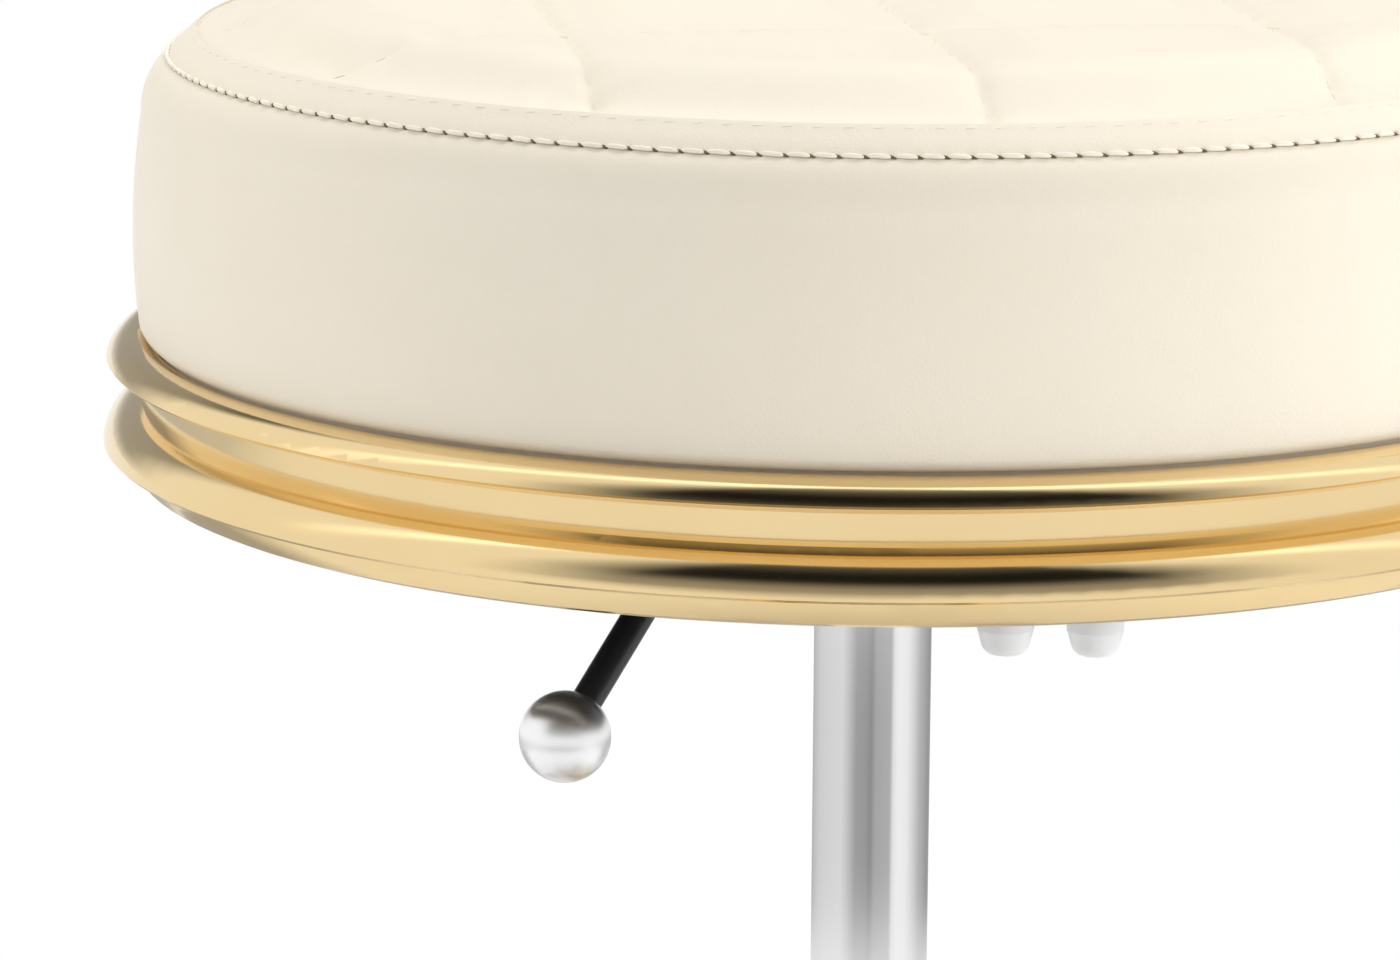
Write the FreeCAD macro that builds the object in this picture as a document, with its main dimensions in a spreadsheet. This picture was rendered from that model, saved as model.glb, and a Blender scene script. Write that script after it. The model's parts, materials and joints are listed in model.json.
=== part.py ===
"""Rolling stool: a quilted round seat in a gold ring, on a gas lift and a five-legged base with casters.

Millimetres, +Z up. The origin is on the floor, under the axis of the lift. The seat is at its highest.
"""

import FreeCAD
import Part
import Sketcher
import math
import os
import re

# Each row is a cell of the sheet: alias, size in millimetres or degrees, meaning.
SIZES = (
    ("ring_z", 463, "lower edge of the trim ring above the floor"),
    ("lift_stroke", 125, "travel of the gas lift"),
    ("gap", 0.2, "room between pieces that are pushed together by hand"),
    ("running", 0.05, "radial room of a sliding or turning fit"),
    ("snug", 0.03, "radial room of a fixed fit"),
    # Trim ring, from its lower edge
    ("ring_bore", 170.6, "inner radius of the ring's wall"),
    ("ring_height", 32.2, "height of the ring"),
    ("ring_top_r", 173.2, "radius where the cushion meets the ring"),
    ("ring_inner_drop", 0.6, "fall of the ring's top towards its bore"),
    ("top_bead_r", 180.5, "radius of the upper step"),
    ("top_bead_z", 27.1, "height of the upper step's edge"),
    ("top_bead_round", 8, "rounding of the upper step"),
    ("bead_edge", 0.6, "broken edge under both steps"),
    ("cove_top_r", 174.4, "radius of the band under the upper step"),
    ("cove_top_z", 24.4, "top of that band, where the upper step's sloped underside starts"),
    ("valley_r", 172.6, "radius of the valley between the steps"),
    ("valley_z", 16.9, "height of the valley"),
    ("low_bead_r", 181.5, "radius of the lower step"),
    ("low_bead_z", 7.4, "height of the lower step's edge"),
    ("low_bead_round", 11, "rounding of the lower step"),
    ("skirt_top_r", 176.6, "radius of the skirt under the lower step"),
    ("skirt_top_z", 6.2, "top of the skirt"),
    ("skirt_round", 14, "rounding of the skirt"),
    ("lip_r", 172.2, "radius of the ring's lowest edge"),
    ("lip_out", 173.9, "outer radius of the lower lip"),
    ("lip_rise", 0.8, "rounding height of the lower lip"),
    ("flange_in", 150, "inner radius of the flange that holds the ring to the board"),
    ("flange_low", 13, "underside of the flange"),
    ("flange_high", 15.5, "top of the flange"),
    ("screw_reach", 160, "radius of the circle of trim screws"),
    ("screw_r", 1.9, "radius of a trim screw's shank"),
    ("screw_head_r", 4, "radius of a trim screw's head"),
    ("screw_head", 1.8, "height of a trim screw's head"),
    ("screw_tip", 27.5, "tip of a trim screw"),
    # Seat board and cover
    ("board_r", 168.3, "radius of the seat board"),
    ("board_z", 17.2, "underside of the seat board"),
    ("board_mid", 29.5, "floor of the tee nuts' recesses"),
    ("board_top", 31.2, "top of the seat board"),
    ("leather", 1.5, "thickness of the cover"),
    ("ease", 0.5, "room between the cover and the foam and ring beside it"),
    ("hem_r", 140, "inner radius of the cover's hem under the board"),
    ("band_foot_r", 172.6, "radius of the side band above the ring"),
    ("band_foot_z", 32.6, "height of the band's foot"),
    ("band_round", 180, "bulge radius of the side band"),
    ("band_shoulder_r", 171.6, "radius where the band turns over"),
    ("band_shoulder_z", 84, "height where the band turns over"),
    ("shoulder_round", 16, "rounding of the band's shoulder"),
    ("seam_r", 165.4, "radius of the topstitched seam"),
    ("seam_z", 97.1, "height of the topstitched seam"),
    ("seam_lean", 0.6, "lean of the seam's cut edge"),
    ("panel_r", 159, "radius of the quilted panel"),
    ("panel_seam_z", 102.75, "height of the seam around the quilted panel"),
    ("border_round", 60, "bulge radius of the border strip"),
    ("panel_base", 96.2, "underside of the quilted panel"),
    ("panel_shoulder_r", 139, "radius where the panel's edge rounds over"),
    ("panel_shoulder_z", 110.3, "height where the panel's edge rounds over"),
    ("panel_edge_round", 200, "rounding of the panel's edge"),
    ("crown_z", 113.8, "highest point of the seat"),
    ("quilt_turn", 10.3, "turn of the quilting, degrees"),
    ("quilt_pitch", 78.9, "distance between quilting seams"),
    ("quilt_shift", 4.2, "how far the seams that run front to back lie left of the middle"),
    ("cross_shift", 4, "how far the seams that run side to side lie behind the middle"),
    ("quilt_sink", 2.6, "depth of a quilting seam at the crown"),
    ("quilt_cross", 0.3, "how much deeper the seams of the other direction are"),
    ("quilt_groove_r", 7, "rounding of a quilting seam"),
    ("quilt_arc", 1900, "radius that a quilting seam follows over the crown"),
    ("quilt_sweep", 9.6, "length of a quilting seam, degrees of that arc"),
    ("staple_reach", 145, "radius of the circle of staples"),
    ("staple_width", 11, "width of a staple"),
    ("staple_wire", 0.9, "thickness of a staple's wire"),
    ("staple_leg", 7, "length of a staple's legs"),
    # Mount under the board
    ("lever_heading", 239.74, "direction of the lever from the axis, degrees"),
    ("plate_half", 75, "half the width of the mount plate"),
    ("plate_corner", 12, "corner radius of the mount plate"),
    ("plate_z", 14.7, "underside of the mount plate"),
    ("bolt_half", 55, "half the spacing of the plate bolts"),
    ("bolt_r", 3, "radius of a plate bolt and of a stud"),
    ("bolt_hole", 3.4, "radius of a bolt hole"),
    ("bolt_tip", 30.5, "upper end of a bolt or stud"),
    ("bolt_head_r", 5, "radius of a bolt's head"),
    ("bolt_head", 5, "height of a bolt's head"),
    ("washer_r", 8, "radius of a plate washer"),
    ("washer", 1.6, "thickness of a plate washer"),
    ("nut_barrel_r", 4.2, "radius of a tee nut's barrel"),
    ("nut_barrel_z", 20, "lower end of a tee nut's barrel"),
    ("nut_flange_r", 9, "radius of a tee nut's flange"),
    ("nut_bore", 3.05, "bore of a tee nut"),
    ("socket_top_r", 26, "radius of the taper socket under the plate"),
    ("socket_low_r", 21.5, "radius of the taper socket's lower end"),
    ("socket_low", -30, "lower end of the taper socket"),
    ("chamber_r", 16, "radius of the room for the valve button"),
    ("slot_half", 4.7, "half the width of the lever's slot"),
    ("slot_low", -5, "bottom of the lever's slot"),
    ("slot_high", 10, "top of the lever's slot"),
    ("slot_length", 32, "length of the lever's slot"),
    ("bracket_start", 26.8, "near end of the lever's bracket"),
    ("bracket_length", 11.2, "length of the lever's bracket"),
    ("bracket_half", 7.8, "half the width of the lever's bracket"),
    ("bracket_web", 2, "thickness of the bracket's web"),
    ("bracket_low", -3, "lower edge of the bracket's cheeks"),
    ("pin_reach", 32, "distance of the lever's pivot from the axis"),
    ("pin_r", 1.5, "radius of the pivot pin"),
    ("pin_length", 19, "length of the pivot pin"),
    ("stud_first_x", 28.6, "place of the first capped stud"),
    ("stud_second_x", 48, "place of the second capped stud"),
    ("stud_y", -120, "place of both capped studs"),
    ("stud_low", -10, "lower end of a stud"),
    ("cap_low", -18, "lower end of a stud's cap"),
    ("cap_high", 2, "upper end of a stud's cap"),
    ("cap_top_r", 6.6, "radius of a cap's mouth"),
    ("cap_shoulder_r", 6.2, "radius where a cap's end starts to taper"),
    ("cap_shoulder", 5.7, "length of a cap's tapered end"),
    ("cap_low_r", 5.1, "radius of a cap above its rounded end"),
    ("cap_flat_r", 2.4, "radius of a cap's flat end"),
    ("cap_round", 2.8, "rounding of a cap's end"),
    ("cap_round_height", 1.9, "height of that rounding"),
    # Lever
    ("lever_r", 3.5, "radius of the lever's rod"),
    ("lever_z", 3, "height of the lever's straight part"),
    ("lever_inner", -6, "inner end of the lever, past the axis"),
    ("lever_corner", 74.5, "distance of the lever's bend from the axis"),
    ("lever_drop", 36, "fall of the lever's outer part, degrees"),
    ("lever_bend", 16, "radius of the lever's bend"),
    ("lever_reach", 72, "from the bend's corner to the knob's centre"),
    ("knob_r", 10.1, "radius of the knob"),
    ("knob_bore_depth", 3, "how far the knob's bore passes its centre"),
    # Gas lift
    ("tube_r", 14, "radius of the lift tube"),
    ("tube_bore", 12, "bore of the lift tube"),
    ("tube_top", -6, "upper end of the lift tube"),
    ("tube_top_r", 13.2, "radius of the tube's tapered end"),
    ("tube_cap", 3, "thickness of the tube's end wall"),
    ("button_hole", 3.4, "hole in the tube's end wall"),
    ("button_r", 3, "radius of the valve button"),
    ("button_low", -28, "lower end of the valve button"),
    ("button_top", -0.8, "top of the valve button"),
    ("button_dome", 2.2, "height of the button's dome"),
    ("valve_low", -32, "lower end of the valve body"),
    ("gland_length", 16, "length of the rod gland"),
    ("rod_r", 5, "radius of the piston rod"),
    ("rod_low", 56, "lower end of the piston rod, from the floor"),
    ("piston_high", 245, "top of the piston and its rod"),
    ("piston_low", 232, "underside of the piston"),
    ("piston_r", 11.9, "radius of the piston"),
    ("seal_floor", 10, "radius of the seal's groove"),
    ("seal_z", 238.5, "middle of the seal"),
    ("seal_half", 1.1, "half the height of the seal's groove"),
    ("seal_r", 11, "radius of the seal's middle line"),
    ("seal_wire", 0.95, "radius of the seal's section"),
    ("clip_low", 61.2, "underside of the rod clip"),
    ("clip_high", 62.7, "top of the rod clip"),
    ("clip_r", 8, "radius of the rod clip"),
    # Outer column
    ("column_r", 25, "radius of the outer column"),
    ("column_low_r", 23.8, "radius of the column's tapered foot"),
    ("column_low", 63, "lower end of the column"),
    ("taper_top", 131, "top of the column's taper"),
    ("column_top", 300, "upper end of the column"),
    ("column_bore", 23.5, "bore of the column"),
    ("foot_bore", 22.2, "bore of the column's foot"),
    ("foot_step", 4, "height of the step between the two bores"),
    ("foot_floor", 67, "top of the column's floor"),
    ("foot_hole", 5.6, "hole in the column's floor"),
    ("bush_low", 222, "lower end of the guide bush"),
    ("bush_short", 0.5, "how far the bush ends below the column's top"),
    ("collar_low", 286, "lower end of the collar"),
    ("collar_r", 27.2, "radius of the collar"),
    ("collar_top", 304.5, "top of the collar"),
    ("collar_top_r", 23.6, "radius of the collar's flat top"),
    ("collar_round", 4.5, "rounding of the collar"),
    ("collar_hole", 14.9, "hole in the collar"),
    ("race_in", 6.2, "inner radius of a bearing washer"),
    ("race_out", 13, "outer radius of a bearing washer"),
    ("race", 2, "thickness of a bearing washer"),
    ("ball_r", 1.45, "radius of a bearing ball"),
    ("ball_reach", 9.6, "radius of the circle of balls"),
    ("ball_room", 3, "distance between the bearing washers"),
    ("bearing_z", 67.1, "underside of the lower bearing washer"),
    ("buffer_r", 12.5, "radius of the rubber buffer"),
    ("buffer_in", 5.3, "bore of the rubber buffer"),
    ("buffer_low", 74.2, "underside of the rubber buffer"),
    ("buffer_shoulder", 82, "height where the buffer rounds over"),
    ("buffer_top", 85, "top of the rubber buffer"),
    ("buffer_top_r", 9, "radius of the buffer's top"),
    ("buffer_gap", 3, "room between the buffer and the lowered lift tube"),
    # Base
    ("hub_low", 70, "underside of the hub"),
    ("hub_foot_r", 33, "radius of the hub's underside"),
    ("hub_r", 36, "radius of the hub"),
    ("hub_chamfer", 4, "height of the hub's lower chamfer"),
    ("hub_shoulder", 108, "height where the hub draws in"),
    ("hub_top", 124, "top of the hub"),
    ("hub_top_r", 30, "radius of the hub's top"),
    ("hub_round", 24, "rounding of the hub's shoulder"),
    ("leg_turn", 18, "direction of the first leg, degrees"),
    ("leg_root", 27, "start of a leg inside the hub"),
    ("leg_middle", 120, "middle section of a leg"),
    ("leg_end", 206, "last section of a leg"),
    ("root_half", 17, "half the width of a leg at the hub"),
    ("root_low", 73, "underside of a leg at the hub"),
    ("root_high", 112, "top of a leg at the hub"),
    ("middle_half", 13.5, "half the width of a leg at its middle"),
    ("middle_low", 72, "underside of a leg at its middle"),
    ("middle_high", 97, "top of a leg at its middle"),
    ("end_half", 11.5, "half the width of a leg at its end"),
    ("end_low", 69.5, "underside of a leg at its end"),
    ("end_high", 88, "top of a leg at its end"),
    ("leg_round", 6, "rounding of a leg's edges"),
    ("boss_reach", 212, "distance of a caster's stem from the axis"),
    ("boss_r", 16, "radius of the boss at a leg's end"),
    ("boss_low", 67.4, "underside of that boss"),
    ("boss_high", 91, "top of that boss"),
    ("boss_round", 5, "rounding of the boss"),
    ("boss_edge", 1, "chamfer under the boss"),
    ("sleeve_r", 8, "radius of the stem's sleeve"),
    ("sleeve_bore", 5.56, "bore of the stem's sleeve"),
    ("sleeve_length", 19.8, "length of the sleeve in the boss"),
    ("sleeve_flange_r", 11, "radius of the sleeve's flange"),
    ("sleeve_flange", 0.8, "thickness of the sleeve's flange"),
    # Casters
    ("caster_heading_1", 20, "direction of the first caster's trail, degrees"),
    ("caster_heading_2", 145, "direction of the second caster's trail"),
    ("caster_heading_3", 265, "direction of the third caster's trail"),
    ("caster_heading_4", 70, "direction of the fourth caster's trail"),
    ("caster_heading_5", 200, "direction of the fifth caster's trail"),
    ("trail", 18, "from the stem's axis to the wheels' axis"),
    ("wheel_r", 25, "radius of a wheel"),
    ("wheel_near", 7, "inner face of a wheel from the caster's middle"),
    ("wheel_width", 15.5, "width of a wheel"),
    ("wheel_face_r", 22.5, "radius of a wheel's inner face"),
    ("wheel_inner_round", 2.5, "rounding of the tread's inner edge"),
    ("wheel_tread", 11, "where the tread ends"),
    ("wheel_outer_round", 5, "rounding of the tread's outer edge"),
    ("wheel_rim_r", 20.5, "radius of the rim around the outer face"),
    ("wheel_rim_width", 2.5, "width of that rim"),
    ("wheel_dish", 1.5, "depth of the dished face"),
    ("wheel_hub_r", 6, "radius of the wheel's middle"),
    ("wheel_bore_depth", 13, "depth of the wheel's bore"),
    ("axle_r", 3, "radius of a caster's axle"),
    ("axle_end", 19.8, "end of the axle from the caster's middle"),
    ("spine_half", 5.5, "half the thickness of the hood's spine"),
    ("spine_r", 14, "radius of the spine around the axle"),
    ("spine_back", 8, "back edge of the spine behind the stem"),
    ("hood_in", 27, "inner radius of the hood"),
    ("hood_out", 30, "outer radius of the hood"),
    ("hood_half", 23.5, "half the width of the hood"),
    ("hood_front", 25, "front end of the hood above the axle, degrees"),
    ("hood_back", 172, "back end of the hood, degrees"),
    ("hood_boss_r", 11, "radius of the boss on the hood"),
    ("hood_boss_low", 52.5, "underside of the hood's boss"),
    ("hood_boss_top", 64, "top of the hood's boss"),
    ("stem_r", 5.5, "radius of a stem"),
    ("stem_top", 86, "upper end of a stem"),
    ("stem_collar_r", 9, "radius of a stem's collar"),
    ("stem_collar", 2.2, "thickness of a stem's collar"),
    ("spigot_r", 3, "radius of a stem's spigot"),
    ("spigot_low", 42, "lower end of a stem's spigot"),
)

TRIM_SCREWS = 6
STAPLES = 24
PLATE_BOLTS = 4
BEARING_BALLS = 12
LEGS = 5
QUILT_SEAMS = (-1, 0, 1)
UP = FreeCAD.Vector(0, 0, 1)

doc = FreeCAD.newDocument("rolling_stool")
sheet = doc.addObject("Spreadsheet::Sheet", "dim")
for row, (alias, size, meaning) in enumerate(SIZES, start=1):
    sheet.set(f"A{row}", meaning)
    sheet.set(f"B{row}", str(size))
    sheet.setAlias(f"B{row}", alias)
doc.recompute()

ALIASES = {alias for alias, size, meaning in SIZES}
pieces = []


def bound(text):
    """The expression for a size: each alias in the text becomes a reference to its cell."""
    return re.sub(r"[a-z_]\w*", lambda m: "dim." + m[0] if m[0] in ALIASES else m[0], text)


def size(text):
    """The present value of an expression."""
    return float(sheet.evalExpression(bound(text)))


def heading_xy(reach, heading):
    """Expressions for the point at a distance from the axis, in a direction in degrees."""
    return f"({reach}) * cos(({heading}) * 1 deg)", f"({reach}) * sin(({heading}) * 1 deg)"


def new_body(label, z="0", turn=None):
    """A body that stands at height z, turned about the vertical. Its label names its file."""
    body = doc.addObject("PartDesign::Body", label)
    body.Label = label
    if turn is not None:
        body.Placement = FreeCAD.Placement(FreeCAD.Vector(), FreeCAD.Rotation(UP, size(turn)))
    body.setExpression("Placement.Base.z", bound(z))
    pieces.append(body)
    return body


def new_sketch(body, plane, offset=("0", "0", "0")):
    """A sketch on one of the body's own planes, moved by an offset along the sketch's axes."""
    name = f"{body.Label}_outline_{len(body.Group) + 1}"
    sketch = body.newObject("Sketcher::SketchObject", name)
    support = next(o for o in body.Origin.OriginFeatures if o.Role == plane + "_Plane")
    sketch.AttachmentSupport = [(support, "")]
    sketch.MapMode = "FlatFace"
    for axis, text in zip("xyz", offset):
        sketch.setExpression(f"AttachmentOffset.Base.{axis}", bound(text))
    return sketch


def hold(sketch, kind, where, text):
    """Adds a dimension to the sketch and binds it to an expression."""
    index = sketch.addConstraint(Sketcher.Constraint(kind, *where, size(text)))
    sketch.setExpression(f"Constraints[{index}]", bound(text))


def arc_between(start, end, radius, side):
    """The arc from start to end, of under a half circle, that swells to the right (1) or left (-1)."""
    chord = end - start
    middle = start + chord * 0.5
    half = chord.Length / 2
    sagitta = radius - math.sqrt(radius * radius - half * half)
    across = FreeCAD.Vector(chord.y, -chord.x, 0).normalize()
    return Part.Arc(start, middle + across * (sagitta * side), end)


def outline(sketch, corners, arcs=None, closed=True):
    """Draws edges through the corners. arcs gives an edge by its number its radius and side."""
    arcs = arcs or {}
    points = [FreeCAD.Vector(size(x), size(y), 0) for x, y in corners]
    count = len(corners) if closed else len(corners) - 1
    ends = []
    first = len(sketch.Geometry)
    for i in range(count):
        start = points[i]
        end = points[(i + 1) % len(points)]
        if i in arcs:
            radius, side = arcs[i]
            edge = arc_between(start, end, size(radius), side)
        else:
            edge = Part.LineSegment(start, end)
        number = sketch.addGeometry(edge, False)
        forward = sketch.getPoint(number, 1).isEqual(start, 1e-6)
        ends.append(((number, 1), (number, 2)) if forward else ((number, 2), (number, 1)))
    for i in range(count if closed else count - 1):
        following = (i + 1) % count
        sketch.addConstraint(Sketcher.Constraint("Coincident", *ends[i][1], *ends[following][0]))
    for i, (x, y) in enumerate(corners):
        end = ends[i][0] if i < count else ends[i - 1][1]
        hold(sketch, "DistanceX", (-1, 1, *end), x)
        hold(sketch, "DistanceY", (-1, 1, *end), y)
    for i, (radius, side) in arcs.items():
        hold(sketch, "Radius", (first + i,), radius)


def circle(sketch, x, y, radius):
    """Draws a circle about a point."""
    number = sketch.addGeometry(Part.Circle(FreeCAD.Vector(size(x), size(y), 0), UP, size(radius)), False)
    hold(sketch, "DistanceX", (-1, 1, number, 3), x)
    hold(sketch, "DistanceY", (-1, 1, number, 3), y)
    hold(sketch, "Radius", (number,), radius)


def revolve(body, sketch, kind="Revolution"):
    """Turns the sketch about its vertical axis."""
    feature = body.newObject("PartDesign::" + kind, f"{body.Label}_turn_{len(body.Group) + 1}")
    feature.Profile = sketch
    feature.ReferenceAxis = (sketch, ["V_Axis"])
    feature.Angle = 360
    return feature


def turn_at(body, corners, arcs=None, x="0", y="0"):
    """A turned solid about the vertical axis through (x, y), from its outline of radius and height."""
    sketch = new_sketch(body, "XZ", (x, "0", f"-({y})"))
    outline(sketch, corners, arcs)
    return revolve(body, sketch)


def turned(label, corners, arcs=None, z="0"):
    """A piece turned about the axis of the stool."""
    body = new_body(label, z)
    turn_at(body, corners, arcs)
    return body


def pad(body, sketch, length, symmetric=False):
    """Thickens the sketch along its normal."""
    feature = body.newObject("PartDesign::Pad", f"{body.Label}_pad_{len(body.Group) + 1}")
    feature.Profile = sketch
    feature.setExpression("Length", bound(length))
    feature.SideType = "Symmetric" if symmetric else "One side"
    return feature


def cut(body, sketch, length, backwards=False, symmetric=False):
    """Cuts the sketch out of the body, and makes sure that material went."""
    doc.recompute()
    before = body.Shape.Volume
    feature = body.newObject("PartDesign::Pocket", f"{body.Label}_cut_{len(body.Group) + 1}")
    feature.Profile = sketch
    feature.setExpression("Length", bound(length))
    feature.SideType = "Symmetric" if symmetric else "One side"
    feature.Reversed = backwards
    doc.recompute()
    assert body.Shape.Volume < before, body.Label
    return feature


def repeat(body, features, count):
    """Repeats features around the vertical axis."""
    pattern = body.newObject("PartDesign::PolarPattern", body.Label + "_ring")
    axis = next(o for o in body.Origin.OriginFeatures if o.Role == "Z_Axis")
    pattern.Originals = features
    pattern.Axis = (axis, [""])
    pattern.Angle = 360
    pattern.Occurrences = count
    body.Tip = pattern
    return pattern


def discs(body, places, z, height, radius, bore=None):
    """Round plates of one height at each place, with a hole through them if bore is given."""
    sketch = new_sketch(body, "XY", ("0", "0", z))
    for x, y in places:
        circle(sketch, x, y, radius)
        if bore:
            circle(sketch, x, y, bore)
    return pad(body, sketch, height)


def rounded_box(sketch, half, low, high, corner):
    """A rounded rectangle, centred across the sketch, between two heights."""
    corners = [
        (f"-{half} + {corner}", low),
        (f"{half} - {corner}", low),
        (half, f"{low} + {corner}"),
        (half, f"{high} - {corner}"),
        (f"{half} - {corner}", high),
        (f"-{half} + {corner}", high),
        (f"-{half}", f"{high} - {corner}"),
        (f"-{half}", f"{low} + {corner}"),
    ]
    outline(sketch, corners, {1: (corner, 1), 3: (corner, 1), 5: (corner, 1), 7: (corner, 1)})


TUBE_LOW = "(buffer_top + buffer_gap + lift_stroke - ring_z)"
BOLT_REACH = "bolt_half * sqrt(2)"
bolt_places = [heading_xy(BOLT_REACH, f"lever_heading + {45 + 90 * i}") for i in range(PLATE_BOLTS)]
stud_places = [("stud_first_x", "stud_y"), ("stud_second_x", "stud_y")]
screw_places = [heading_xy("screw_reach", str(360 / TRIM_SCREWS * i)) for i in range(TRIM_SCREWS)]


def make_trim_ring():
    """The gold ring: two quarter-round steps over recessed bands, and the flat flange welded inside it."""
    corners = [
        ("ring_bore", "lip_rise"),
        ("lip_r", "0"),
        ("lip_out", "lip_rise"),
        ("skirt_top_r", "skirt_top_z"),
        ("low_bead_r - bead_edge", "low_bead_z - bead_edge"),
        ("low_bead_r", "low_bead_z"),
        ("valley_r", "valley_z"),
        ("cove_top_r", "cove_top_z"),
        ("top_bead_r - bead_edge", "top_bead_z - bead_edge"),
        ("top_bead_r", "top_bead_z"),
        ("ring_top_r", "ring_height"),
        ("ring_bore", "ring_height - ring_inner_drop"),
    ]
    arcs = {2: ("skirt_round", 1), 5: ("low_bead_round", 1), 9: ("top_bead_round", 1)}
    turned("trim_ring", corners, arcs, "ring_z")
    flange = new_body("ring_flange", "ring_z")
    sketch = new_sketch(flange, "XY", ("0", "0", "flange_low"))
    circle(sketch, "0", "0", "ring_bore")
    circle(sketch, "0", "0", "flange_in")
    for x, y in screw_places:
        circle(sketch, x, y, "screw_r + gap")
    pad(flange, sketch, "flange_high - flange_low")
    screws = new_body("trim_screws", "ring_z")
    discs(screws, screw_places, "flange_low - screw_head", "screw_head", "screw_head_r")
    discs(screws, screw_places, "flange_low", "screw_tip - flange_low", "screw_r")


def make_cover():
    """The sewn cover in three panels, over the foam core, with its hem stapled under the board."""
    band_corners = [
        ("band_foot_r", "band_foot_z"),
        ("band_shoulder_r", "band_shoulder_z"),
        ("seam_r", "seam_z"),
        ("seam_r - seam_lean", "seam_z - leather"),
        ("band_shoulder_r - leather", "band_shoulder_z"),
        ("band_foot_r - leather", "band_foot_z + leather"),
        ("board_r + gap", "band_foot_z"),
        ("board_r + gap", "board_z - snug"),
        ("hem_r", "board_z - snug"),
        ("hem_r", "board_z - leather - snug"),
        ("ring_bore - ease", "board_z - leather - snug"),
        ("ring_bore - ease", "ring_height"),
    ]
    band_arcs = {
        0: ("band_round", 1),
        1: ("shoulder_round", 1),
        3: ("shoulder_round - leather", -1),
        4: ("band_round - leather", -1),
    }
    band = turned("cover_band", band_corners, band_arcs, "ring_z")
    holes = new_sketch(band, "XY", ("0", "0", "board_z"))
    for x, y in screw_places:
        circle(holes, x, y, "screw_r + gap")
    cut(band, holes, "leather + gap")
    border_corners = [
        ("seam_r - snug", "seam_z + snug"),
        ("panel_r + snug", "panel_seam_z"),
        ("panel_r + snug", "panel_seam_z - leather"),
        ("seam_r - seam_lean - snug", "seam_z - leather + snug"),
    ]
    border_arcs = {0: ("border_round", 1), 2: ("border_round - leather", -1)}
    turned("cover_border", border_corners, border_arcs, "ring_z")
    foam_corners = [
        ("0", "board_top + snug"),
        ("board_r - gap", "board_top + snug"),
        ("board_r - gap", "band_foot_z"),
        ("band_foot_r - leather - ease", "band_foot_z + leather + ease"),
        ("band_shoulder_r - leather - ease", "band_shoulder_z"),
        ("seam_r - seam_lean - ease", "seam_z - leather - ease"),
        ("panel_r + gap", "panel_seam_z - leather - 2 * ease"),
        ("panel_r + gap", "panel_base - snug"),
        ("0", "panel_base - snug"),
    ]
    foam_arcs = {3: ("band_round - leather - ease", 1), 4: ("shoulder_round - leather - ease", 1)}
    turned("foam_core", foam_corners, foam_arcs, "ring_z")
    make_quilted_panel()
    staple_corners = [
        ("-staple_width / 2", "-staple_wire"),
        ("staple_width / 2", "-staple_wire"),
        ("staple_width / 2", "staple_leg"),
        ("staple_width / 2 - staple_wire", "staple_leg"),
        ("staple_width / 2 - staple_wire", "0"),
        ("staple_wire - staple_width / 2", "0"),
        ("staple_wire - staple_width / 2", "staple_leg"),
        ("-staple_width / 2", "staple_leg"),
    ]
    staples = new_body("cover_staples", "ring_z + board_z - leather - snug")
    sketch = new_sketch(staples, "XZ", ("0", "0", "staple_reach"))
    outline(sketch, staple_corners)
    repeat(staples, [pad(staples, sketch, "staple_wire", symmetric=True)], STAPLES)


def make_quilted_panel():
    """The crowned top panel, with a square grid of seams sunk into it."""
    panel = new_body("cover_top", "ring_z", "quilt_turn")
    drop = "(crown_z - panel_shoulder_z)"
    corners = [
        ("0", "panel_base"),
        ("panel_r", "panel_base"),
        ("panel_r", "panel_seam_z"),
        ("panel_shoulder_r", "panel_shoulder_z"),
        ("0", "crown_z"),
    ]
    dome = f"(panel_shoulder_r * panel_shoulder_r + {drop} * {drop}) / (2 * {drop})"
    turn_at(panel, corners, {2: ("panel_edge_round", 1), 3: (dome, 1)})
    rows = (("XZ", "quilt_sink", "- quilt_shift"), ("YZ", "(quilt_sink + quilt_cross)", "+ cross_shift"))
    for plane, sink, shift in rows:
        doc.recompute()
        before = panel.Shape.Volume
        sketch = new_sketch(panel, plane, ("0", f"crown_z - {sink} - quilt_arc", "0"))
        for number in QUILT_SEAMS:
            place = f"({number} * quilt_pitch {shift})"
            fall = f"{place} * {place} / (2 * ({dome}))"
            circle(sketch, place, f"quilt_arc + quilt_groove_r - {fall}", "quilt_groove_r")
        groove = panel.newObject("PartDesign::Groove", f"quilt_seams_{plane}")
        groove.Profile = sketch
        groove.ReferenceAxis = (sketch, ["H_Axis"])
        groove.setExpression("Angle", bound("quilt_sweep"))
        groove.Midplane = True
        doc.recompute()
        assert panel.Shape.Volume < before, plane


def make_seat_board():
    """The plywood disc, drilled for the bolts, the studs and the trim screws."""
    board = new_body("seat_board", "ring_z")
    lower = new_sketch(board, "XY", ("0", "0", "board_z"))
    circle(lower, "0", "0", "board_r")
    for x, y in bolt_places + stud_places:
        circle(lower, x, y, "nut_barrel_r + snug")
    for x, y in screw_places:
        circle(lower, x, y, "screw_r + snug")
    pad(board, lower, "board_mid - board_z")
    upper = new_sketch(board, "XY", ("0", "0", "board_mid"))
    circle(upper, "0", "0", "board_r")
    for x, y in bolt_places + stud_places:
        circle(upper, x, y, "nut_flange_r + gap")
    pad(board, upper, "board_top - board_mid")
    nuts = new_body("tee_nuts", "ring_z")
    nut_places = bolt_places + stud_places
    discs(nuts, nut_places, "nut_barrel_z", "board_mid - nut_barrel_z", "nut_barrel_r", "nut_bore")
    discs(nuts, nut_places, "board_mid", "board_top - board_mid - snug", "nut_flange_r", "nut_bore")


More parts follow.
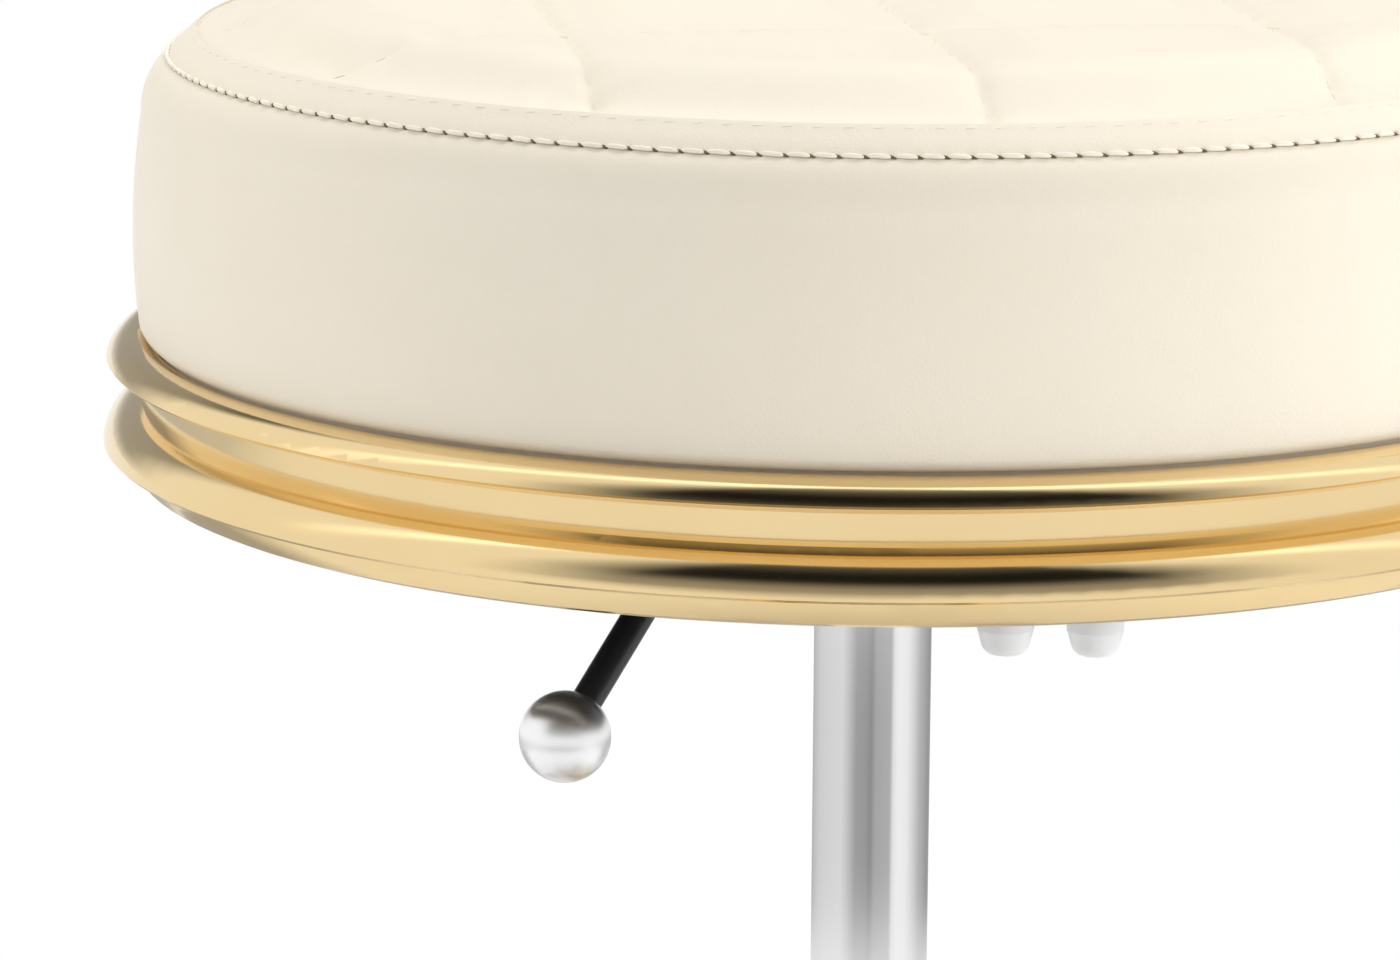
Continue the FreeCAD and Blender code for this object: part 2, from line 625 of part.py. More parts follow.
def make_mount():
    """The steel plate under the board, its fasteners, and the socket that the lift tube sits in."""
    plate = new_body("mount_plate", "ring_z", "lever_heading")
    sketch = new_sketch(plate, "XY", ("0", "0", "plate_z"))
    rounded_box(sketch, "plate_half", "-plate_half", "plate_half", "plate_corner")
    for i in range(PLATE_BOLTS):
        x, y = heading_xy(BOLT_REACH, str(45 + 90 * i))
        circle(sketch, x, y, "bolt_hole")
    pad(plate, sketch, "board_z - plate_z")
    washers = new_body("plate_washers", "ring_z")
    discs(washers, bolt_places, "plate_z - washer", "washer", "washer_r", "bolt_r + gap")
    bolts = new_body("plate_bolts", "ring_z")
    discs(bolts, bolt_places, "plate_z - washer - bolt_head", "bolt_head", "bolt_head_r")
    discs(bolts, bolt_places, "plate_z - washer", "bolt_tip - plate_z + washer", "bolt_r")
    socket = new_body("taper_socket", "ring_z", "lever_heading")
    corners = [
        ("tube_r", "socket_low"),
        ("socket_low_r", "socket_low"),
        ("socket_top_r", "plate_z"),
        ("chamber_r", "plate_z"),
        ("chamber_r", "tube_top"),
        ("tube_top_r", "tube_top"),
    ]
    turn_at(socket, corners)
    slot = new_sketch(socket, "YZ")
    slot_corners = [
        ("-slot_half", "slot_low"),
        ("slot_half", "slot_low"),
        ("slot_half", "slot_high"),
        ("-slot_half", "slot_high"),
    ]
    outline(slot, slot_corners)
    cut(socket, slot, "slot_length", backwards=True)


def make_studs():
    """Two studs under the seat, each in a tapered cap with a rounded end."""
    studs = new_body("accessory_studs", "ring_z")
    discs(studs, stud_places, "stud_low", "bolt_tip - stud_low", "bolt_r")
    caps = new_body("stud_caps", "ring_z")
    corners = [
        ("0", "cap_low"),
        ("cap_flat_r", "cap_low"),
        ("cap_low_r", "cap_low + cap_round_height"),
        ("cap_shoulder_r", "cap_low + cap_shoulder"),
        ("cap_top_r", "cap_high"),
        ("bolt_r + snug", "cap_high"),
        ("bolt_r + snug", "stud_low - snug"),
        ("0", "stud_low - snug"),
    ]
    for x, y in stud_places:
        turn_at(caps, corners, {1: ("cap_round", 1)}, x, y)


def make_lever():
    """The bent lever, its knob, and the bracket and pin that it tilts on. X points along the lever."""
    bracket = new_body("lever_bracket", "ring_z", "lever_heading")
    section = new_sketch(bracket, "YZ", ("0", "0", "bracket_start"))
    corners = [
        ("-bracket_half", "bracket_low"),
        ("-slot_half", "bracket_low"),
        ("-slot_half", "plate_z - bracket_web"),
        ("slot_half", "plate_z - bracket_web"),
        ("slot_half", "bracket_low"),
        ("bracket_half", "bracket_low"),
        ("bracket_half", "plate_z"),
        ("-bracket_half", "plate_z"),
    ]
    outline(section, corners)
    pad(bracket, section, "bracket_length")
    holes = new_sketch(bracket, "XZ")
    circle(holes, "pin_reach", "lever_z", "pin_r + snug")
    cut(bracket, holes, "pin_length", symmetric=True)
    pin = new_body("pivot_pin", "ring_z", "lever_heading")
    pin_section = new_sketch(pin, "XZ")
    circle(pin_section, "pin_reach", "lever_z", "pin_r")
    pad(pin, pin_section, "pin_length", symmetric=True)
    rod = new_body("lever_rod", "ring_z", "lever_heading")
    tangent = "lever_bend * tan(lever_drop / 2 * 1 deg)"
    route = [("lever_inner", "lever_z"), (f"lever_corner - {tangent}", "lever_z")]
    for reach in (tangent, "lever_reach - knob_bore_depth"):
        along = f"lever_corner + ({reach}) * cos(lever_drop * 1 deg)"
        height = f"lever_z - ({reach}) * sin(lever_drop * 1 deg)"
        route.append((along, height))
    path = new_sketch(rod, "XZ")
    outline(path, route, {1: ("lever_bend", -1)}, closed=False)
    section = new_sketch(rod, "YZ", ("0", "0", "lever_inner"))
    circle(section, "0", "lever_z", "lever_r")
    pipe = rod.newObject("PartDesign::AdditivePipe", "lever_rod_pipe")
    pipe.Profile = section
    pipe.Spine = path
    hole = new_sketch(rod, "XZ")
    circle(hole, "pin_reach", "lever_z", "pin_r + running")
    cut(rod, hole, "pin_length", symmetric=True)
    make_knob()


def make_knob():
    """The ball on the lever's end, bored for the rod. Its own Z points up the rod."""
    mouth = "sqrt(knob_r * knob_r - (lever_r + snug) * (lever_r + snug))"
    corners = [
        ("0", "-knob_r"),
        ("knob_r", "0"),
        ("lever_r + snug", mouth),
        ("lever_r + snug", "knob_bore_depth - snug"),
        ("0", "knob_bore_depth - snug"),
    ]
    knob = new_body("lever_knob")
    turn_at(knob, corners, {0: ("knob_r", 1), 1: ("knob_r", 1)})
    heading = FreeCAD.Rotation(UP, size("lever_heading"))
    lean = FreeCAD.Rotation(FreeCAD.Vector(0, 1, 0), size("lever_drop - 90"))
    knob.Placement = FreeCAD.Placement(FreeCAD.Vector(), heading.multiply(lean))
    along = "(lever_corner + lever_reach * cos(lever_drop * 1 deg))"
    x, y = heading_xy(along, "lever_heading")
    height = "ring_z + lever_z - lever_reach * sin(lever_drop * 1 deg)"
    for axis, text in zip("xyz", (x, y, height)):
        knob.setExpression(f"Placement.Base.{axis}", bound(text))


def make_lift():
    """The gas lift: the tube that carries the seat, and the piston rod that stays in the column."""
    tube_corners = [
        ("tube_bore", TUBE_LOW),
        ("tube_r", TUBE_LOW),
        ("tube_r", "socket_low"),
        ("tube_top_r", "tube_top"),
        ("button_hole", "tube_top"),
        ("button_hole", "tube_top - tube_cap"),
        ("tube_bore", "tube_top - tube_cap"),
    ]
    turned("lift_tube", tube_corners, None, "ring_z")
    valve_corners = [
        ("button_r + running", "valve_low"),
        ("tube_bore - snug", "valve_low"),
        ("tube_bore - snug", "tube_top - tube_cap - snug"),
        ("button_r + running", "tube_top - tube_cap - snug"),
    ]
    turned("valve_body", valve_corners, None, "ring_z")
    button_corners = [
        ("0", "button_low"),
        ("button_r", "button_low"),
        ("button_r", "button_top - button_dome"),
        ("0", "button_top"),
    ]
    dome = "(button_r * button_r + button_dome * button_dome) / (2 * button_dome)"
    turned("valve_button", button_corners, {2: (dome, 1)}, "ring_z")
    gland_corners = [
        ("rod_r + running", TUBE_LOW),
        ("tube_bore - snug", TUBE_LOW),
        ("tube_bore - snug", f"{TUBE_LOW} + gland_length"),
        ("rod_r + running", f"{TUBE_LOW} + gland_length"),
    ]
    turned("rod_gland", gland_corners, None, "ring_z")
    rod_corners = [("0", "rod_low"), ("rod_r", "rod_low"), ("rod_r", "piston_high"), ("0", "piston_high")]
    turned("piston_rod", rod_corners)
    piston_corners = [
        ("rod_r + snug", "piston_low"),
        ("piston_r", "piston_low"),
        ("piston_r", "seal_z - seal_half"),
        ("seal_floor", "seal_z - seal_half"),
        ("seal_floor", "seal_z + seal_half"),
        ("piston_r", "seal_z + seal_half"),
        ("piston_r", "piston_high"),
        ("rod_r + snug", "piston_high"),
    ]
    turned("piston_head", piston_corners)
    seal = new_body("piston_seal")
    section = new_sketch(seal, "XZ")
    circle(section, "seal_r", "seal_z", "seal_wire")
    revolve(seal, section)
    clip_corners = [
        ("rod_r + snug", "clip_low"),
        ("clip_r", "clip_low"),
        ("clip_r", "clip_high"),
        ("rod_r + snug", "clip_high"),
    ]
    turned("rod_clip", clip_corners)


def make_column():
    """The outer column with its tapered foot, and the bush, collar, bearing and buffer in it."""
    column_corners = [
        ("foot_hole", "column_low"),
        ("column_low_r", "column_low"),
        ("column_r", "taper_top"),
        ("column_r", "column_top"),
        ("column_bore", "column_top"),
        ("column_bore", "taper_top + foot_step"),
        ("foot_bore", "taper_top"),
        ("foot_bore", "foot_floor"),
        ("foot_hole", "foot_floor"),
    ]
    turned("outer_column", column_corners)
    bush_corners = [
        ("tube_r + running", "bush_low"),
        ("column_bore - snug", "bush_low"),
        ("column_bore - snug", "column_top - bush_short"),
        ("tube_r + running", "column_top - bush_short"),
    ]
    turned("guide_bush", bush_corners)
    collar_corners = [
        ("column_r + snug", "collar_low"),
        ("collar_r", "collar_low"),
        ("collar_r", "column_top"),
        ("collar_top_r", "collar_top"),
        ("collar_hole", "collar_top"),
        ("collar_hole", "column_top + snug"),
        ("column_r + snug", "column_top + snug"),
    ]
    turned("column_collar", collar_corners, {2: ("collar_round", 1)})
    bearing = new_body("thrust_bearing")
    height = "bearing_z + race + ball_room / 2"
    corners = [("0", f"{height} - ball_r"), ("ball_r", height), ("0", f"{height} + ball_r")]
    ball = turn_at(bearing, corners, {0: ("ball_r", 1), 1: ("ball_r", 1)}, "ball_reach")
    repeat(bearing, [ball], BEARING_BALLS)
    for z in ("bearing_z", "bearing_z + race + ball_room"):
        discs(bearing, [("0", "0")], z, "race", "race_out", "race_in")
    buffer_corners = [
        ("buffer_in", "buffer_low"),
        ("buffer_r", "buffer_low"),
        ("buffer_r", "buffer_shoulder"),
        ("buffer_top_r", "buffer_top"),
        ("buffer_in", "buffer_top"),
    ]
    turned("rubber_buffer", buffer_corners)


def make_base():
    """The five-legged base: a turned hub, and legs lofted from the hub to a boss for each caster."""
    base = new_body("star_base", turn="leg_turn")
    slope = "(column_r - column_low_r) / (taper_top - column_low)"
    bore_low = f"column_low_r + snug + {slope} * (hub_low - column_low)"
    bore_high = f"column_low_r + snug + {slope} * (hub_top - column_low)"
    hub_corners = [
        (bore_low, "hub_low"),
        ("hub_foot_r", "hub_low"),
        ("hub_r", "hub_low + hub_chamfer"),
        ("hub_r", "hub_shoulder"),
        ("hub_top_r", "hub_top"),
        (bore_high, "hub_top"),
    ]
    turn_at(base, hub_corners, {3: ("hub_round", 1)})
    sections = []
    for place in ("root", "middle", "end"):
        sketch = new_sketch(base, "YZ", ("0", "0", f"leg_{place}"))
        rounded_box(sketch, f"{place}_half", f"{place}_low", f"{place}_high", "leg_round")
        sections.append(sketch)
    leg = base.newObject("PartDesign::AdditiveLoft", "leg")
    leg.Profile = sections[0]
    leg.Sections = sections[1:]
    boss_corners = [
        ("0", "boss_low"),
        ("boss_r - boss_edge", "boss_low"),
        ("boss_r", "boss_low + boss_edge"),
        ("boss_r", "boss_high - boss_round"),
        ("boss_r - boss_round", "boss_high"),
        ("0", "boss_high"),
    ]
    boss = turn_at(base, boss_corners, {3: ("boss_round", 1)}, "boss_reach")
    hole = new_sketch(base, "XY", ("0", "0", "boss_low"))
    circle(hole, "boss_reach", "0", "sleeve_r + snug")
    bore = cut(base, hole, "sleeve_length + gap", backwards=True)
    repeat(base, [leg, boss, bore], LEGS)
    sleeves = new_body("caster_sleeves", turn="leg_turn")
    places = [heading_xy("boss_reach", str(360 / LEGS * i)) for i in range(LEGS)]
    discs(sleeves, places, "boss_low - sleeve_flange", "sleeve_flange", "sleeve_flange_r", "sleeve_bore")
    discs(sleeves, places, "boss_low", "sleeve_length", "sleeve_r", "sleeve_bore")


def caster_placement(number):
    """Where a caster stands: its stem at the end of a leg, its trail along its own heading."""
    x, y = heading_xy("boss_reach", f"leg_turn + {360 / LEGS * (number - 1)}")
    heading = FreeCAD.Rotation(UP, size(f"caster_heading_{number}"))
    return FreeCAD.Placement(FreeCAD.Vector(size(x), size(y), 0), heading)


def make_hood(number):
    """A caster's hood: a spine between the wheels, a shield over them and a boss for the stem."""
    hood = new_body(f"caster_hood_{number}")
    spine = new_sketch(hood, "XZ")
    corners = [
        ("trail", "wheel_r - spine_r"),
        ("trail + spine_r", "wheel_r"),
        ("trail", "hood_boss_low"),
        ("-spine_back", "hood_boss_low"),
        ("-spine_back", "wheel_r"),
    ]
    outline(spine, corners, {0: ("spine_r", 1)})
    circle(spine, "trail", "wheel_r", "axle_r + snug")
    pad(hood, spine, "2 * spine_half", symmetric=True)
    shield = new_sketch(hood, "XZ")
    ends = []
    for angle in ("hood_front", "90", "hood_back"):
        ends.append(f"trail + RADIUS * cos({angle} * 1 deg), wheel_r + RADIUS * sin({angle} * 1 deg)")
    outer = [tuple(end.replace("RADIUS", "hood_out").split(", ")) for end in ends]
    inner = [tuple(end.replace("RADIUS", "hood_in").split(", ")) for end in reversed(ends)]
    arcs = {0: ("hood_out", 1), 1: ("hood_out", 1), 3: ("hood_in", -1), 4: ("hood_in", -1)}
    outline(shield, outer + inner, arcs)
    pad(hood, shield, "2 * hood_half", symmetric=True)
    discs(hood, [("0", "0")], "hood_boss_low", "hood_boss_top - hood_boss_low", "hood_boss_r")
    hole = new_sketch(hood, "XY", ("0", "0", "hood_boss_top"))
    circle(hole, "0", "0", "spigot_r + snug")
    cut(hood, hole, "hood_boss_top - spigot_low + gap")
    return hood


def make_stem(number):
    """A caster's stem: a spigot in the hood, a collar, and the pin that turns in the leg's sleeve."""
    corners = [
        ("0", "spigot_low"),
        ("spigot_r", "spigot_low"),
        ("spigot_r", "hood_boss_top"),
        ("stem_collar_r", "hood_boss_top"),
        ("stem_collar_r", "hood_boss_top + stem_collar"),
        ("stem_r", "hood_boss_top + stem_collar"),
        ("stem_r", "stem_top"),
        ("0", "stem_top"),
    ]
    return turned(f"caster_stem_{number}", corners)


def make_axle(number):
    """A caster's axle, across the spine, with a wheel on each end."""
    axle = new_body(f"caster_axle_{number}")
    section = new_sketch(axle, "XZ")
    circle(section, "trail", "wheel_r", "axle_r")
    pad(axle, section, "2 * axle_end", symmetric=True)
    return axle


def make_wheel(label):
    """A caster wheel about its own Z, which points out of the caster, from the wheel's inner face."""
    corners = [
        ("axle_r + running", "0"),
        ("wheel_face_r", "0"),
        ("wheel_r", "wheel_inner_round"),
        ("wheel_r", "wheel_tread"),
        ("wheel_rim_r", "wheel_width"),
        ("wheel_rim_r - wheel_rim_width", "wheel_width"),
        ("wheel_rim_r - wheel_rim_width - wheel_dish", "wheel_width - wheel_dish"),
        ("wheel_hub_r + wheel_dish", "wheel_width - wheel_dish"),
        ("wheel_hub_r", "wheel_width"),
        ("0", "wheel_width"),
        ("0", "wheel_bore_depth"),
        ("axle_r + running", "wheel_bore_depth"),
    ]
    arcs = {1: ("wheel_inner_round", 1), 3: ("wheel_outer_round", 1)}
    return turned(label, corners, arcs, "wheel_r")


def make_caster(number):
    """A twin-wheel caster at the end of one leg."""
    place = caster_placement(number)
    for piece in (make_hood(number), make_stem(number), make_axle(number)):
        piece.Placement = place
    for side, sign in (("left", 1), ("right", -1)):
        wheel = make_wheel(f"wheel_{side}_{number}")
        centre = FreeCAD.Vector(size("trail"), sign * size("wheel_near"), size("wheel_r"))
        outward = FreeCAD.Rotation(UP, FreeCAD.Vector(0, sign, 0))
        wheel.Placement = place.multiply(FreeCAD.Placement(centre, outward))


def write_parts():
    """Checks that nothing failed, then writes each piece to a file of its own."""
    doc.recompute()
    failed = [o.Label for o in doc.Objects if "Invalid" in o.State or "Error" in o.State]
    assert not failed, failed
    for piece in pieces:
        assert not piece.Shape.isNull() and piece.Shape.isValid(), piece.Label
        assert piece.Shape.Solids, piece.Label
    os.makedirs("parts", exist_ok=True)
    for piece in pieces:
        piece.Shape.exportStep(f"parts/{piece.Label}.step")
    print(len(pieces), "pieces written")


make_trim_ring()
make_cover()
make_seat_board()
make_mount()
make_studs()
make_lever()
make_lift()
make_column()
make_base()
for caster in range(1, LEGS + 1):
    make_caster(caster)
write_parts()
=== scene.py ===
# %% [markdown]
# # Dressing a rolling stool
# The stool arrives as exact solids: a frame that already has the right size and moves at its joints.
# This lesson gives it its looks. The hard pieces keep their solids and get finishes. The seat's cover is
# soft, so it is sewn again here: a quilted top, a border strip, a side band, and the threads in them.

# %% Load the frame
import bmesh
import bpy
import json
import math
import numpy as np
from mathutils import Matrix, Vector
from mathutils.bvhtree import BVHTree


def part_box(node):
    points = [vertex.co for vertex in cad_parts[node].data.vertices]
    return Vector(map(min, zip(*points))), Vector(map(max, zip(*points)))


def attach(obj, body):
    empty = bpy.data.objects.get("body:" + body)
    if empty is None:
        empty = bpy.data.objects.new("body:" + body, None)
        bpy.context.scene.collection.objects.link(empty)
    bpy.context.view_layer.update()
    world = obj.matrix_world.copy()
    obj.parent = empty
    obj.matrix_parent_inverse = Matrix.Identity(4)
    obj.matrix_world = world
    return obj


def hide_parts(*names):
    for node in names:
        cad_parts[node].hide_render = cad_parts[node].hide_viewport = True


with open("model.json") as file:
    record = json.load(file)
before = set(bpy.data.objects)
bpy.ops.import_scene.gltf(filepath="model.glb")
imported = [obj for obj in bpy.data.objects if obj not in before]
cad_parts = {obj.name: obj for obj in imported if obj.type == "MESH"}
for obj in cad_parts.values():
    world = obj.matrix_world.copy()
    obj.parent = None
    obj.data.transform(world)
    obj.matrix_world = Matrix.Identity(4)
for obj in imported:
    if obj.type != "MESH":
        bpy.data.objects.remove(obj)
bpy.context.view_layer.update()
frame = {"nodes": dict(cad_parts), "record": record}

MM = 0.001
nodes = frame["nodes"]
ring_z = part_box("trim_ring")[0].z
print("pieces in the frame:", len(nodes), "ring at", round(ring_z, 3), "m")

# %% [markdown]
# ## Tools for finishes
# A finish that is one flat colour looks like a toy. Real surfaces drift a little in tone and in gloss, so
# the finishes here share a node group that puts out a slow, cloudy value. Leather also needs a grain: a
# net of tiny creases around pebbles, finer than a millimetre. Both groups are built once and placed in
# each material with their own sizes.

# %% A cloudy value that materials share
def new_group(name, inputs, outputs):
    """A shader node group with number inputs and outputs. Gives the group and its two end nodes."""
    group = bpy.data.node_groups.new(name, "ShaderNodeTree")
    for socket, value in inputs.items():
        made = group.interface.new_socket(name=socket, in_out="INPUT", socket_type="NodeSocketFloat")
        made.default_value = value
    for socket in outputs:
        group.interface.new_socket(name=socket, in_out="OUTPUT", socket_type="NodeSocketFloat")
    start = group.nodes.new("NodeGroupInput")
    end = group.nodes.new("NodeGroupOutput")
    return group, start, end


def make_cloud_group():
    """Soft clouds between 0 and 1 over the surface, of a given number to the metre."""
    group, start, end = new_group("cloudy_value", {"Scale": 12.0, "Detail": 3.0}, ["Value"])
    place = group.nodes.new("ShaderNodeTexCoord")
    noise = group.nodes.new("ShaderNodeTexNoise")
    spread = group.nodes.new("ShaderNodeMapRange")
    spread.inputs["From Min"].default_value = 0.3
    spread.inputs["From Max"].default_value = 0.7
    group.links.new(place.outputs["Object"], noise.inputs["Vector"])
    group.links.new(start.outputs["Scale"], noise.inputs["Scale"])
    group.links.new(start.outputs["Detail"], noise.inputs["Detail"])
    group.links.new(noise.outputs["Fac"], spread.inputs["Value"])
    group.links.new(spread.outputs["Result"], end.inputs["Value"])
    return group


cloud_group = make_cloud_group()
print("node group:", cloud_group.name)

# %% Leather grain as a height
def make_grain_group():
    """Pebbles with creases between them: high on a pebble, low in a crease."""
    group, start, end = new_group("pebble_grain", {"Scale": 900.0}, ["Height"])
    place = group.nodes.new("ShaderNodeTexCoord")
    pebbles = group.nodes.new("ShaderNodeTexVoronoi")
    pebbles.feature = "DISTANCE_TO_EDGE"
    crease = group.nodes.new("ShaderNodeMapRange")
    crease.inputs["From Max"].default_value = 0.25
    group.links.new(place.outputs["Object"], pebbles.inputs["Vector"])
    group.links.new(start.outputs["Scale"], pebbles.inputs["Scale"])
    group.links.new(pebbles.outputs["Distance"], crease.inputs["Value"])
    group.links.new(crease.outputs["Result"], end.inputs["Height"])
    return group


grain_group = make_grain_group()
print("node group:", grain_group.name)

# %% [markdown]
# ## One recipe for a finish
# Every finish below is a Principled shader whose colour and roughness drift between two values with the
# cloudy group. Values that stay the same all over, such as how metallic it is, are set on the shader.

# %% The recipe
def new_finish(name, colours, rough, clouds=12.0, metallic=0.0, specular=0.5):
    """A material that drifts between two colours and two roughness values. Gives it and its shader."""
    material = bpy.data.materials.new(name)
    material.use_nodes = True
    tree = material.node_tree
    shader = tree.nodes["Principled BSDF"]
    shader.inputs["Metallic"].default_value = metallic
    shader.inputs["Specular IOR Level"].default_value = specular
    cloud = tree.nodes.new("ShaderNodeGroup")
    cloud.node_tree = cloud_group
    cloud.inputs["Scale"].default_value = clouds
    tint = tree.nodes.new("ShaderNodeMix")
    tint.data_type = "RGBA"
    tint.inputs["A"].default_value = (*colours[0], 1.0)
    tint.inputs["B"].default_value = (*colours[1], 1.0)
    gloss = tree.nodes.new("ShaderNodeMapRange")
    gloss.inputs["To Min"].default_value = rough[0]
    gloss.inputs["To Max"].default_value = rough[1]
    tree.links.new(cloud.outputs["Value"], tint.inputs["Factor"])
    tree.links.new(tint.outputs["Result"], shader.inputs["Base Color"])
    tree.links.new(cloud.outputs["Value"], gloss.inputs["Value"])
    tree.links.new(gloss.outputs["Result"], shader.inputs["Roughness"])
    return material, shader


def add_bump(material, shader, height, strength, distance):
    """Lets a height socket tilt the shader's normal."""
    tree = material.node_tree
    bump = tree.nodes.new("ShaderNodeBump")
    bump.inputs["Strength"].default_value = strength
    bump.inputs["Distance"].default_value = distance
    tree.links.new(height, bump.inputs["Height"])
    tree.links.new(bump.outputs["Normal"], shader.inputs["Normal"])


def add_noise(material, scale, stretch=(1.0, 1.0, 1.0)):
    """A noise over the surface, stretched along the axes. Gives its output."""
    tree = material.node_tree
    place = tree.nodes.new("ShaderNodeTexCoord")
    squeeze = tree.nodes.new("ShaderNodeMapping")
    squeeze.inputs["Scale"].default_value = stretch
    noise = tree.nodes.new("ShaderNodeTexNoise")
    noise.inputs["Scale"].default_value = scale
    noise.inputs["Detail"].default_value = 4.0
    tree.links.new(place.outputs["Object"], squeeze.inputs["Vector"])
    tree.links.new(squeeze.outputs["Vector"], noise.inputs["Vector"])
    return noise.outputs["Fac"]


def bumpy_finish(name, colours, rough, clouds, bumps, strength, depth, stretch=(1.0, 1.0, 1.0), **rest):
    """A finish with a fine bump: how many to the metre, how strongly it shows and how deep it is."""
    material, shader = new_finish(name, colours, rough, clouds, **rest)
    add_bump(material, shader, add_noise(material, bumps, stretch), strength, depth)
    return material


# %% [markdown]
# ## The finishes
# The cover is cream coated leather with a fine grain and a soft shine. The ring is plated in polished gold
# and the lift tube in chrome. The knob's chrome is duller, so its reflections blur. The lever is coated in
# satin black, the caps under the seat are a pale moulded plastic, and the casters are black nylon. Most
# finishes also get a fine bump, because no surface of this size is perfectly even.

# %% Soft finishes
def make_leather():
    """Cream coated leather: a barely uneven tone, a soft shine and a fine grain."""
    material, shader = new_finish(
        "cream_leather", ((0.868, 0.793, 0.664), (0.846, 0.769, 0.636)), (0.42, 0.52), clouds=14.0
    )
    grain = material.node_tree.nodes.new("ShaderNodeGroup")
    grain.node_tree = grain_group
    grain.inputs["Scale"].default_value = 850.0
    add_bump(material, shader, grain.outputs["Height"], strength=0.12, distance=0.2 * MM)
    return material


leather = make_leather()
thread = bumpy_finish(
    "cream_thread",
    ((0.925, 0.870, 0.760), (0.885, 0.825, 0.705)),
    (0.55, 0.7),
    clouds=400.0,
    bumps=3000.0,
    strength=0.3,
    depth=0.1 * MM,
)
# Painted shade: the needle holes are not cut. Their dark is this colour, on a small mark at each hole.
needle_hole_shade, _ = new_finish(
    "needle_hole_painted_shade",
    ((0.150, 0.105, 0.058), (0.215, 0.158, 0.095)),
    (0.8, 0.95),
    clouds=500.0,
    specular=0.05,
)
print("soft finishes:", leather.name, thread.name, needle_hole_shade.name)

# %% Plated and painted metals
gold, _ = new_finish(
    "polished_gold",
    ((0.860, 0.670, 0.365), (0.835, 0.636, 0.335)),
    (0.10, 0.15),
    clouds=20.0,
    metallic=1.0,
)
chrome, _ = new_finish(
    "polished_chrome",
    ((0.925, 0.925, 0.930), (0.900, 0.900, 0.905)),
    (0.09, 0.13),
    clouds=18.0,
    metallic=1.0,
)
satin_chrome, _ = new_finish(
    "satin_chrome",
    ((0.940, 0.940, 0.945), (0.920, 0.920, 0.925)),
    (0.31, 0.35),
    clouds=60.0,
    metallic=1.0,
)
satin_black = bumpy_finish(
    "satin_black_coating",
    ((0.012, 0.012, 0.013), (0.018, 0.018, 0.019)),
    (0.32, 0.42),
    clouds=40.0,
    bumps=1500.0,
    strength=0.06,
    depth=0.1 * MM,
)
matt_black = bumpy_finish(
    "matt_black_primer",
    ((0.010, 0.010, 0.011), (0.016, 0.016, 0.016)),
    (0.60, 0.75),
    clouds=50.0,
    bumps=1300.0,
    strength=0.10,
    depth=0.1 * MM,
    specular=0.15,
)
zinc = bumpy_finish(
    "zinc_plated_steel",
    ((0.560, 0.565, 0.570), (0.480, 0.485, 0.490)),
    (0.25, 0.42),
    clouds=120.0,
    bumps=2200.0,
    strength=0.08,
    depth=0.1 * MM,
    metallic=1.0,
)
print("metals:", gold.name, chrome.name, satin_chrome.name, satin_black.name, matt_black.name, zinc.name)

# %% Plastics, rubber and wood
pale_plastic = bumpy_finish(
    "pale_grey_plastic",
    ((0.870, 0.875, 0.880), (0.830, 0.835, 0.840)),
    (0.42, 0.55),
    clouds=90.0,
    bumps=2600.0,
    strength=0.05,
    depth=0.1 * MM,
)
nylon = bumpy_finish(
    "black_nylon",
    ((0.016, 0.016, 0.017), (0.024, 0.024, 0.026)),
    (0.30, 0.45),
    clouds=60.0,
    bumps=1800.0,
    strength=0.10,
    depth=0.2 * MM,
)
tread = bumpy_finish(
    "wheel_tread",
    ((0.026, 0.026, 0.027), (0.042, 0.041, 0.040)),
    (0.50, 0.70),
    clouds=80.0,
    bumps=900.0,
    strength=0.15,
    depth=0.3 * MM,
)
rubber = bumpy_finish(
    "black_rubber",
    ((0.020, 0.020, 0.020), (0.032, 0.031, 0.030)),
    (0.70, 0.85),
    clouds=150.0,
    bumps=1200.0,
    strength=0.15,
    depth=0.2 * MM,
)
# Painted shade: the board is near black, far darker than bare plywood, so the seat's shaded underside reads
# dark where the knob mirrors it.
plywood = bumpy_finish(
    "plywood_painted_shade",
    ((0.026, 0.020, 0.016), (0.015, 0.012, 0.009)),
    (0.60, 0.80),
    clouds=35.0,
    bumps=60.0,
    strength=0.25,
    depth=0.5 * MM,
    stretch=(1.0, 12.0, 12.0),
    specular=0.12,
)
print("finishes:", len(bpy.data.materials))

# %% [markdown]
# ## Finishes for the solids
# The solids whose shape is right stay as they are. Each one only gets its finish, by the material slot that
# the frame's record gives it. Two pieces differ from the rest of their slot: the knob is duller than the
# lift tube, and the flange under the ring is primed, not coated.

# %% Hand out the finishes
FINISH_OF_SLOT = {
    "gold": gold,
    "chrome": chrome,
    "black_steel": satin_black,
    "steel": zinc,
    "pale_plastic": pale_plastic,
    "black_plastic": nylon,
    "wheel_plastic": tread,
    "rubber": rubber,
    "plywood": plywood,
    "cover_cream": leather,
    "foam": leather,
}
slot_of_node = {part["node"]: part["material_slot"] for part in frame["record"]["subparts"]}
for name, node in nodes.items():
    node.data.materials.clear()
    node.data.materials.append(FINISH_OF_SLOT[slot_of_node[name]])
nodes["lever_knob"].data.materials[0] = satin_chrome
nodes["ring_flange"].data.materials[0] = matt_black
print("solids with a finish:", len(nodes))

# %% [markdown]
# ## The side band
# The band is one strip of leather around the foam. Its foot is tucked into the ring and stapled under the
# board, and its upper edge is turned in at the topstitched seam. A turned outline gives that shape exactly.
# Two things make it look sewn: the edge dips where each stitch pulls it, and the leather has faint slack.

